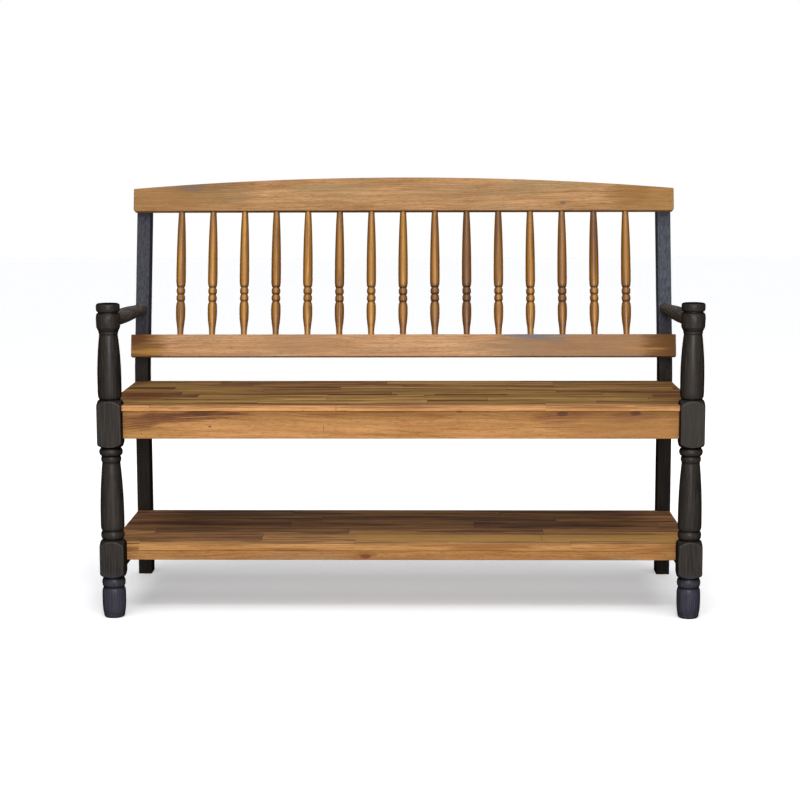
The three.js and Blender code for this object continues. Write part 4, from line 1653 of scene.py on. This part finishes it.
@dataclass
class RearPost(Assembly):
    """A rear post, sawn to a bend over the seat, with holes for the screws of the back."""

    bend_reach: float = 45.0
    top_rise: float = 419.0
    ease: float = 1.6
    head: float = 6.8
    head_depth: float = 7.0
    overrun: float = 4.0
    middle: Pair = (24.0, 440.0)
    seeds: Pair = (3.1, 4.4)
    # Painted bluish sheen on the upper, leaning part of each post, brighter on the right post.
    cools: tuple[Colour, Colour] = (stain(78, 79, 90), stain(88, 92, 104))
    stained: BlackStain = BlackStain(
        deep=stain(26, 22, 19),
        pale=stain(48, 42, 37),
        coolness=0.85,
        cool_span=(60.0, 190.0),
        coat=0.12,
    )

    def outline(self) -> list[Pair]:
        """Draws the post from the side, as y and z.

        Returns:
            The outline.
        """
        layout, lean, reach = self.layout, self.layout.lean, self.bend_reach
        depth = layout.rear_depth
        up = Vector((math.sin(lean), math.cos(lean)))
        across = Vector((math.cos(lean), -math.sin(lean)))
        front = Vector((layout.depth, layout.bend))
        back = Vector((layout.depth + depth, layout.bend - depth * math.tan(lean / 2)))
        front_top = front + up * self.top_rise
        back_top = front_top + across * depth
        points = [(front.x, 0.0), (back.x, 0.0)]
        points += rounded(tuple(back), (back.x, back.y - reach), tuple(back + up * reach), 12)
        points += [tuple(back_top), tuple(front_top)]
        points += rounded(tuple(front), tuple(front + up * reach), (front.x, front.y - reach), 12)
        return points

    def make(self) -> None:
        """Makes and dresses both rear posts."""
        layout = self.layout
        into_row = layout.row.inverted() @ layout.leaning
        ends = (layout.rear_depth + self.overrun, layout.rear_depth - self.head_depth)
        for (side, name), seed, cool in zip(SIDES, self.seeds, self.cools):
            x = side * layout.rear_centre
            drills = []
            for rise in layout.lag_rises:
                start, end = (into_row @ Vector((x, y, rise)) for y in ends)
                drills.append((start, end, self.head))
            Board(
                "bent_rear_post_" + name,
                "rear_post_" + name,
                replace(self.stained, cool=cool),
                self.outline(),
                around(x, layout.rear_outer - layout.rear_inner),
                seed,
                plane=Grain.BACKWARD,
                grain=Grain.UPRIGHT,
                ease=self.ease,
                middle=(x, layout.depth + self.middle[0], self.middle[1]),
                drills=drills,
            ).make(layout)


@dataclass
class Arm(Assembly):
    """An arm: a turned dowel, fullest near the front, that tapers into the rear post."""

    radius: float = 16.9
    front: float = 16.3
    rear: float = 13.3
    start: float = 20.0
    sink: float = 6.0
    belly: float = 0.4
    taper: float = 0.7
    taper_radius: float = 0.42
    half: Triple = (17.0, 220.0, 17.0)
    sides: int = 64
    seeds: Pair = (5.3, 6.9)
    stained: BlackStain = BlackStain(deep=stain(68, 62, 60), pale=stain(108, 101, 97), coat=0.15)

    def profile(self, length: float) -> Profile:
        """Draws an arm from its front end.

        Args:
            length: from the post's axis to the rear post's face.
        Returns:
            The outline.
        """
        belly, taper = self.belly * length, self.taper * length
        middle_radius = between(self.rear, self.radius, self.taper_radius)
        path = Profile([(self.front, self.start)])
        path.line((self.radius, belly))
        path.curve((self.radius, (belly + taper) / 2), (middle_radius, taper), steps=20)
        path.curve((self.rear, (taper + length) / 2), (self.rear, length), steps=20)
        path.line((self.rear, length + self.sink))
        return path

    def make(self) -> None:
        """Makes and dresses both arms."""
        layout = self.layout
        low = layout.arm_height - layout.arm_fall
        face = layout.depth + (low - layout.bend) * math.tan(layout.lean)
        for (side, name), seed in zip(SIDES, self.seeds):
            start = Vector((side * layout.half_spacing, 0, layout.arm_height))
            end = Vector((side * layout.rear_centre, face, low))
            middle = layout.spot(layout.row, (start + end) / 2)
            lumber = Lumber(middle, self.half, Grain.BACKWARD, seed=seed)
            self.turning.turn(
                self.profile((end - start).length),
                "turned_arm_" + name,
                "arm_rail_" + name,
                self.stained.slot,
                sides=self.sides,
                seed=seed * TURNING_SEED,
                turn=(end - start).to_track_quat("Z", "Y").to_euler(),
                place=layout.row @ start,
                finish=self.stained.make("black stain, arm " + name, lumber),
            )


@dataclass
class BackRails(Assembly):
    """The arched crest rail and the straight lower rail, on the faces of the rear posts."""

    thickness: float = 20.0
    crest_half: float = 628.0
    crest_end: float = 53.5
    crest_arch: float = 26.0
    crest_corner: float = 7.0
    lower_half: float = 628.5
    ease: float = 1.8
    arch_steps: int = 72

    def crest_outline(self) -> list[Pair]:
        """Draws the crest from the front, as x and rise.

        Returns:
            The outline.
        """
        half, low, corner = self.crest_half, self.layout.crest_rise, self.crest_corner
        end_top, arch = low + self.crest_end, self.crest_arch
        radius = (half * half + arch**2) / (2 * arch)
        points = rounded((-half, low), (-half, low + corner), (-half + corner, low))
        points += rounded((half, low), (half - corner, low), (half, low + corner))
        for step in range(self.arch_steps + 1):
            x = between(half, -half, step / self.arch_steps)
            drop = radius - math.sqrt(radius * radius - x * x)
            points.append((x, end_top + arch - drop))
        return points

    def make(self) -> None:
        """Makes and dresses both rails."""
        low = self.layout.rail_rise
        ends = (-self.lower_half, self.lower_half)
        lower_outline = rectangle(ends, (low, low + self.layout.rail_height))
        for name, node, wood, outline, seed in (
            ("arched_crest_rail", "crest_rail", CREST_WOOD, self.crest_outline(), 0.6),
            ("straight_lower_rail", "lower_back_rail", LOWER_RAIL_WOOD, lower_outline, 2.3),
        ):
            span = (-FIT - self.thickness, -FIT)
            shape = {"plane": Grain.ALONG, "ease": self.ease, "leaning": True}
            Board(name, node, wood, outline, span, seed, **shape).make(self.layout)


@dataclass
class Spindles(Assembly):
    """Fifteen turned spindles, each with two vases and two beads, no two quite alike."""

    pitch: float = 73.7
    span: float = 289.0
    tenon: float = 6.0
    end: float = 7.1
    lower: float = 11.1
    upper: float = 11.2
    bead: float = 10.3
    groove: float = 7.4
    bead_height: float = 16.8
    swell: float = 0.085
    lower_belly: float = 0.195
    grooves: float = 0.265
    upper_belly: float = 0.45
    belly_end: float = 0.5
    bend: float = 0.66
    slope: float = 0.88
    slope_radius: float = 0.62
    shift: Pair = (-1.2, 1.2)
    growth: Pair = (-0.015, 0.01)
    axis: float = -10.3
    sides: int = 48
    seed: int = 15
    wood_step: float = 0.37
    turning_step: float = 3.0

    def profile(self, bottom: float, chance: random.Random) -> tuple[Profile, Pair]:
        """Draws one spindle, with a turner's small differences.

        Args:
            bottom: the rise of the lower rail's top.
            chance: where the differences come from.
        Returns:
            The outline, and the lowest and highest rise of the beads.
        """
        top = bottom + self.span
        shift = chance.uniform(*self.shift)
        grown = 1 + chance.uniform(*self.growth)
        shares = (self.swell, self.lower_belly, self.upper_belly, self.belly_end)
        swell, lower_belly, upper_belly, belly_end = (between(bottom, top, s) for s in shares)
        bend, slope = (between(bottom, top, s) for s in (self.bend, self.slope))
        grooves = between(bottom, top, self.grooves) + shift
        middle = grooves + self.bead_height
        upper = middle + self.bead_height
        lower, full, bead = self.lower * grown, self.upper * grown, self.bead * grown
        slope_radius = between(self.end, full, self.slope_radius)
        path = Profile([(self.end, bottom - self.tenon)])
        path.line((self.end, bottom))
        path.curve((self.end, swell), (lower, swell), (lower, lower_belly), steps=26)
        path.curve((lower, grooves), (self.groove, grooves), steps=14)
        path.bead(self.groove, bead, grooves, middle)
        path.bead(self.groove, bead, middle, upper)
        path.curve((full, upper), (full, upper_belly), steps=20)
        path.line((full, belly_end))
        path.curve((full, bend), (slope_radius, slope), (self.end, top), steps=30)
        path.line((self.end, top + self.tenon))
        return path, (grooves, upper)

    def make(self) -> None:
        """Makes and dresses all the spindles."""
        layout, chance = self.layout, random.Random(self.seed)
        bottom = layout.rail_rise + layout.rail_height
        middle_rise = bottom + self.span / 2
        half = (self.upper, self.upper, self.span / 2)
        first = -(len(SPINDLE_WOODS) - 1) / 2
        for index, wood in enumerate(SPINDLE_WOODS):
            x = (first + index) * self.pitch
            number = f"{index + 1:02d}"
            path, (low, high) = self.profile(bottom, chance)
            middle = layout.spot(layout.leaning, (x, self.axis, middle_rise))
            lumber = Lumber(middle, half, Grain.UPRIGHT, layout.lean, index * self.wood_step)
            beads = (low - middle_rise, high - middle_rise)
            self.turning.turn(
                path,
                "turned_spindle_" + number,
                "spindle_" + number,
                wood.slot,
                sides=self.sides,
                seed=index * self.turning_step,
                turn=Euler((-layout.lean, 0, 0)),
                place=layout.leaning @ Vector((x, self.axis, 0)),
                finish=wood.make("spindle wood " + number, lumber, beads),
            )


@dataclass
class Seat(Assembly):
    """The seat board, its front apron and the rails, battens and blocks that carry it."""

    thickness: float = 12.0
    front: float = -14.4
    back: float = 421.0
    apron_face: float = -1.4
    apron_depth: float = 20.0
    bearer_height: float = 26.0
    block_height: float = 34.0
    block_reach: float = 62.0
    block_land: float = 14.0
    screw_share: float = 0.33
    screw_well: Triple = (-4.0, 9.0, 4.6)
    ease: float = 1.4
    rail_ease: float = 1.2

    def make(self) -> None:
        """Makes and dresses the seat and all that carries it."""
        layout = self.layout
        near, far = layout.frame_ys
        post_edge = layout.half_spacing - near
        places = (
            (post_edge, self.front),
            (post_edge, near),
            (layout.board_end, near),
            (layout.board_end, far),
            (layout.inner_end, far),
            (layout.inner_end, self.back),
        )
        span = (layout.seat_top - self.thickness, layout.seat_top)
        flat = {"grain": Grain.FLAT, "ease": self.ease}
        names = ("strip_seat", "seat_panel", SEAT_WOOD)
        Board(*names, mirrored(places), span, seed=0.9, **flat).make(layout)
        front, rear = self.apron_face + self.apron_depth, self.back - self.apron_depth
        outline = rectangle((-post_edge, post_edge), layout.apron)
        upright = {"plane": Grain.ALONG, "ease": self.ease}
        names = ("seat_apron", "seat_front_rail", APRON_WOOD)
        Board(*names, outline, (self.apron_face, front), seed=5.2, **upright).make(layout)
        self.across("seat_back_rail", "seat_rear_rail", (rear, self.back), layout.apron, seed=8.0)
        top = layout.apron[1]
        for side, name in SIDES:
            xs = around(side * layout.rear_centre, layout.side_rail_width)
            outline = rectangle(xs, layout.frame_ys)
            names = ("seat_end_rail_" + name, "seat_side_rail_" + name, BlackStain())
            rest = {"grain": Grain.BACKWARD, "ease": self.rail_ease}
            Board(*names, outline, layout.apron, seed=7.0 + side, **rest).make(layout)
            bearer_zs = (top - self.bearer_height, top)
            self.bearer("seat", side, name, (front + FIT, rear - FIT), bearer_zs, seed=9.0)
            self.corner_block(side, -1, "front_" + name, front)
            self.corner_block(side, 1, "rear_" + name, rear)

    def corner_block(self, side: int, end: int, name: str, wall: float) -> None:
        """Makes and dresses one block in the corner of the seat frame.

        Args:
            side: -1 at the left, 1 at the right.
            end: -1 at the front, 1 at the rear.
            name: the corner's name.
            wall: the inner face of the rail that it stands against.
        """
        layout = self.layout
        rail_face = layout.rear_centre - layout.side_rail_width / 2
        outer, near = side * (rail_face - FIT), wall - end * FIT
        land_x, land_y = side * self.block_land, -end * self.block_land
        far_x = outer - side * self.block_reach - land_x
        far_y = near - end * self.block_reach + land_y
        points = [(far_x, near), (far_x, near + land_y), (outer - land_x, far_y), (outer, far_y)]
        if end < 0:
            post_y = layout.frame_ys[0]
            post_x = side * (layout.half_spacing - post_y)
            points += [(outer, post_y), (post_x, post_y), (post_x, near)]
        else:
            points.append((outer, near))
        zs = (layout.apron[1] - self.block_height, layout.apron[1])
        inset = self.block_land + self.screw_share * self.block_reach
        x, y = side * (rail_face - inset), wall - end * inset
        low, high, radius = self.screw_well
        well = (Vector((x, y, zs[0] + low)), Vector((x, y, zs[0] + high)), radius)
        names = ("corner_block_piece_" + name, "corner_block_" + name, RAW_WOOD)
        Board(*names, points, zs, seed=11.0 + side + 2 * end, drills=[well]).make(layout)


@dataclass
class Shelf(Assembly):
    """The shelf board, the strip under its front edge and the stretchers that carry it."""

    thickness: float = 14.0
    front: float = 26.4
    back: float = 414.0
    lip_depth: float = 20.0
    screw_well: Triple = (-4.0, 15.4, 4.5)
    ease: float = 1.1
    stretcher_ease: float = 1.2

    def make(self) -> None:
        """Makes and dresses the shelf and all that carries it."""
        layout = self.layout
        end, rear = layout.board_end, layout.frame_ys[1]
        places = ((end, self.front), (end, rear), (layout.inner_end, rear))
        outline = mirrored((*places, (layout.inner_end, self.back)))
        span = (layout.shelf_top - self.thickness, layout.shelf_top)
        flat = {"grain": Grain.FLAT, "ease": self.ease}
        names = ("strip_shelf", "shelf_panel", SHELF_WOOD)
        Board(*names, outline, span, seed=3.3, **flat).make(layout)
        ys = (self.front, self.front + self.lip_depth)
        upright = {"plane": Grain.ALONG, "ease": self.ease}
        names = ("shelf_lip", "shelf_front_rail", SHELF_EDGE_WOOD)
        Board(*names, rectangle((-end, end), layout.lip), ys, seed=6.1, **upright).make(layout)
        back_lip = self.back - self.lip_depth
        back_ys = (back_lip, self.back)
        self.across("shelf_back_lip", "shelf_rear_rail", back_ys, layout.lip, seed=14.0)
        for side, name in SIDES:
            self.stretcher(side, name)
            bearer_ys = (ys[1] + FIT, back_lip - FIT)
            self.bearer("shelf", side, name, bearer_ys, layout.lip, seed=15.0)

    def stretcher(self, side: int, name: str) -> None:
        """Makes and dresses one black stretcher, notched under the lip.

        Args:
            side, name: which end of the bench.
        """
        layout = self.layout
        notch_y, notch_z = self.front + self.lip_depth + FIT, layout.lip[0] - FIT
        (front, rear), low, high = layout.frame_ys, layout.stretcher_low, layout.lip[1]
        outline = [(front, low), (rear, low), (rear, high), (notch_y, high)]
        outline += [(notch_y, notch_z), (front, notch_z)]
        centre = side * layout.rear_centre
        start, end, radius = self.screw_well
        drills = []
        for share in layout.stretcher_shares:
            y = between(layout.post_half, layout.depth, share)
            ends = (Vector((centre, y, low + start)), Vector((centre, y, low + end)))
            drills.append((*ends, radius))
        Board(
            "shelf_stretcher_rail_" + name,
            "shelf_stretcher_" + name,
            BlackStain(),
            outline,
            around(centre, layout.side_rail_width),
            seed=17.0 + side,
            plane=Grain.BACKWARD,
            grain=Grain.BACKWARD,
            ease=self.stretcher_ease,
            drills=drills,
        ).make(layout)


@dataclass(frozen=True)
class ScrewSize:
    """The sizes of one kind of screw."""

    head_radius: float
    head_height: float
    chamfer: float
    recess_width: float
    recess_depth: float
    shank_radius: float
    shank_length: float


class ScrewTree(ShapeTree):
    """The node tree that sets a screw, with a crossed recess in its head, at every point."""

    NAME = "Screws"
    INPUTS = (
        ("geometry", "Geometry", None),
        *((size.name, "Float", None) for size in fields(ScrewSize)),
        ("turn", "Rotation", None),
        ("finish", "Material", None),
    )
    RECESS_REACH = 1.15
    OVERLAP = 0.9

    def shifted(self, shape: Expr, height: Expr) -> Expr:
        """Lifts a shape along the screw."""
        values = {"Geometry": shape, "Translation": self.shop.vector(0.0, 0.0, height)}
        return self.shop.node("GeometryNodeTransform", values)

    def drum(self, sides: int, radius: Expr, depth: Expr) -> Expr:
        """Makes a closed cylinder."""
        values = {"Vertices": sides, "Radius": radius, "Depth": depth}
        return self.shop.node("GeometryNodeMeshCylinder", values, fill_type="NGON")

    def shape(self) -> Expr:
        """Draws the screws.

        Returns:
            A screw at each point.
        """
        shop, given = self.shop, self.given
        radius, height, chamfer = (given(key) for key in ("head_radius", "head_height", "chamfer"))
        body = height - chamfer
        head = self.shifted(self.drum(32, radius, body), body * -0.5 - chamfer)
        sizes = {"Radius Bottom": radius, "Radius Top": radius - chamfer, "Depth": chamfer}
        rim = shop.node("GeometryNodeMeshCone", {"Vertices": 32, **sizes}, fill_type="NGON")
        rim = self.shifted(rim, chamfer * -1.0)
        length = given("shank_length")
        shank = self.drum(20, given("shank_radius"), length)
        shank = self.shifted(shank, length * -0.5 - height * self.OVERLAP)
        solids = {"Mesh 2": [head, rim, shank]}
        solid = shop.node("GeometryNodeMeshBoolean", solids, operation="UNION")
        width, depth = given("recess_width"), given("recess_depth") * 2
        reach = radius * self.RECESS_REACH
        slots = [
            shop.node("GeometryNodeMeshCube", {"Size": shop.vector(*size, depth)})
            for size in ((reach, width), (width, reach))
        ]
        solids = {"Mesh 1": solid, "Mesh 2": slots}
        screw = shop.node("GeometryNodeMeshBoolean", solids, operation="DIFFERENCE")
        values = {"Mesh": given("geometry"), "Radius": MM}
        points = shop.node("GeometryNodeMeshToPoints", values)
        values = {"Points": points, "Instance": screw, "Rotation": given("turn")}
        return shop.node("GeometryNodeInstanceOnPoints", values)


@dataclass
class Screws(Assembly):
    """The screws that hold the back to the rear posts, and those up into the two boards."""

    lag: ScrewSize = ScrewSize(6.5, 6.0, 1.4, 1.7, 2.4, 3.0, 50.0)
    small: ScrewSize = ScrewSize(4.2, 3.0, 0.8, 1.2, 1.5, 2.0, 32.0)
    sink: float = 1.0
    bite: float = 8.0
    length: float = 36.0
    seat_under: float = 443.0
    shelf_under: float = 137.0
    block_inset: float = 34.46
    block_x: float = 595.0
    block_ys: Pair = (18.6, 401.0)

    def make(self) -> None:
        """Makes and dresses all the screws."""
        layout, tree, steel = self.layout, ScrewTree(), DarkSteel()
        finish = steel.make("dark steel")
        back = layout.rear_depth - self.sink
        lags, lag_names, smalls, small_names = [], [], [], []
        rails = ("lower_rail", "crest")
        levels = [f"{rail}_screw_{end}" for rail in rails for end in ("low", "high")]
        seat_z, shelf_z = (
            under + self.bite - self.length for under in (self.seat_under, self.shelf_under)
        )
        for side, name in SIDES:
            x = side * layout.rear_centre
            for rise, level in zip(layout.lag_rises, levels):
                lags.append(layout.leaning @ Vector((x, back, rise)))
                lag_names.append(f"{level}_{name}")
            ends = zip((1, -1), ("front", "rear"), self.block_ys, layout.stretcher_shares)
            for inwards, end, wall, share in ends:
                block_x = side * (self.block_x - self.block_inset)
                block_y = wall + inwards * self.block_inset
                shelf_y = between(layout.post_half, layout.depth, share)
                smalls.append(layout.row @ Vector((block_x, block_y, seat_z)))
                smalls.append(layout.row @ Vector((x, shelf_y, shelf_z)))
                small_names += [f"seat_screw_{end}_{name}", f"shelf_screw_{end}_{name}"]
        for piece, size, turn, places, nodes in (
            ("back_lag_screws", self.lag, -math.pi / 2 - layout.lean, lags, lag_names),
            ("board_wood_screws", self.small, math.pi, smalls, small_names),
        ):
            mesh = bpy.data.meshes.new(piece)
            mesh.from_pydata(places, [], [])
            sizes = {key: value * MM for key, value in vars(size).items()}
            made = tree.apply(mesh, piece, turn=Euler((turn, 0, 0)), finish=finish, **sizes)
            fit(made, steel.slot, nodes)


@dataclass(frozen=True)
class Lamp:
    """A soft box that faces a target, with its width and height, and its power in watts."""

    name: str
    place: Triple
    target: Triple
    size: Pair
    power: float

    def hang(self) -> None:
        """Hangs the lamp."""
        data = bpy.data.lights.new(self.name, "AREA")
        data.shape = "RECTANGLE"
        data.size, data.size_y = self.size
        data.energy = self.power
        made = put(self.name, data)
        made.location = self.place
        aim = Vector(self.target) - Vector(self.place)
        made.rotation_euler = aim.to_track_quat("-Z", "Y").to_euler()


@dataclass
class Studio:
    """The camera, the lamps, the floor and the white all round."""

    camera_place: Triple = (0.06377, -4.0965, 0.96744)
    pitch: float = 0.1303
    yaw: float = -0.0167
    roll: float = -0.0023
    focal_pixels: float = 1845.27
    frame_pixels: int = 800
    sensor: float = 36.0
    lamps: tuple[Lamp, ...] = (
        Lamp("key", (0.35, -4.2, 1.3), (0.0, 0.0, 0.45), (0.8, 1.0), 76.0),
        Lamp("fill", (-1.6, -3.2, 1.3), (0.0, 0.0, 0.45), (0.7, 1.2), 6.0),
        Lamp("top strip", (0.0, -1.9, 2.6), (0.0, -0.2, 0.4), (1.6, 0.35), 16.0),
        Lamp("back", (0.0, 3.4, 1.7), (0.0, 0.3, 0.5), (1.4, 1.0), 30.0),
    )
    sky_direction: Triple = (0.05, -0.42, 1.0)
    sky_strength: float = 2.15
    sky_spread: float = math.radians(70)
    world_level: float = 0.25
    flag_span: Pair = (0.25, 0.85)
    flag_strength: float = 0.8
    floor_colour: Colour = (0.86, 0.865, 0.885, 1.0)
    floor_bounce: Colour = (0.35, 0.35, 0.35, 1.0)
    floor_lift: float = 0.28
    floor_size: float = 14.0
    white: Colour = (1.0, 1.0, 1.0, 1.0)

    def make(self) -> None:
        """Sets up everything that the bench is photographed with."""
        self.camera()
        self.world()
        self.floor()
        for lamp in self.lamps:
            lamp.hang()
        data = bpy.data.lights.new("overhead", "SUN")
        data.energy = self.sky_strength
        data.angle = self.sky_spread
        turn = Vector(self.sky_direction).to_track_quat("Z", "Y").to_euler()
        put("overhead", data).rotation_euler = turn
        bpy.context.scene.view_settings.view_transform = "Standard"

    def camera(self) -> None:
        """Puts the camera where the photograph was taken from."""
        pitch, yaw, roll = self.pitch, self.yaw, self.roll
        level = Vector((math.cos(yaw), -math.sin(yaw), 0.0))
        forward = Vector((math.sin(yaw), math.cos(yaw), 0.0))
        ahead = forward * math.cos(pitch) - Vector((0.0, 0.0, math.sin(pitch)))
        upward = level.cross(ahead)
        right = level * math.cos(roll) + upward * math.sin(roll)
        top = upward * math.cos(roll) - level * math.sin(roll)
        turn = Matrix((right, top, -ahead)).transposed().to_4x4()
        data = bpy.data.cameras.new("camera")
        data.sensor_width = self.sensor
        data.lens = self.focal_pixels / self.frame_pixels * self.sensor
        data.clip_end = 100.0
        made = put("camera", data)
        made.matrix_world = Matrix.Translation(self.camera_place) @ turn
        bpy.context.scene.camera = made

    def shown(self, shop: NodeShop) -> Expr:
        """Finds the rays from the camera, and those that metal or glass passes on.

        Args:
            shop: where the nodes go.
        Returns:
            1 for such rays.
        """
        camera = shop.node("ShaderNodeLightPath", output="Is Camera Ray")
        outputs = camera.socket.node.outputs
        glossy, through = (outputs[f"Is {kind} Ray"] for kind in ("Glossy", "Transmission"))
        return camera.most(Expr(shop, glossy)).most(Expr(shop, through))

    def world(self) -> None:
        """Makes the world white to look at and soft to be lit by, with flags at the sides."""
        world = bpy.data.worlds.new("studio")
        bpy.context.scene.world = world
        world.use_nodes = True
        world.node_tree.nodes.clear()
        shop = NodeShop(world.node_tree)
        sideways = abs(shop.parts(shop.node("ShaderNodeTexCoord", output="Generated"))[0])
        level = (1 - sideways.rise(*self.flag_span) * self.flag_strength) * self.world_level
        strength = level + self.shown(shop) * (1 - level)
        glow = shop.node("ShaderNodeBackground", {"Color": self.white, "Strength": strength})
        shop.node("ShaderNodeOutputWorld", {"Surface": glow})

    def floor(self) -> None:
        """Lays the white floor, which keeps the bench's shadow."""
        ends = (-self.floor_size, self.floor_size)
        mesh = bpy.data.meshes.new("floor")
        mesh.from_pydata([(x, y, 0) for x, y in rectangle(ends, ends)], [], [(0, 1, 2, 3)])
        floor = put("floor", mesh)
        surface = Surface.start("studio floor")
        shop = surface.shop
        seen = self.shown(shop)
        tint = shop.mix(seen, self.floor_bounce, self.floor_colour)
        paper = shop.node("ShaderNodeBsdfDiffuse", {"Color": tint})
        values = {"Color": self.white, "Strength": seen * self.floor_lift}
        glow = shop.node("ShaderNodeEmission", values)
        both = shop.node("ShaderNodeAddShader", {0: paper, 1: glow})
        shop.node("ShaderNodeOutputMaterial", {"Surface": both})
        mesh.materials.append(surface.material)


def main() -> None:
    """Builds the sub-assemblies in order, then the studio."""
    logging.basicConfig(level=logging.INFO, format="%(name)s: %(message)s")
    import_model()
    low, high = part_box("front_post_left")
    layout, turning = Layout(axis_y=(low.y + high.y) / 2 / MM), TurningTree()
    for kind in (FrontPost, RearPost, Arm, BackRails, Spindles, Seat, Shelf, Screws):
        kind(layout, turning).make()
        log.info("%s made", kind.__name__)
    Studio().make()


if __name__ == "__main__":
    main()
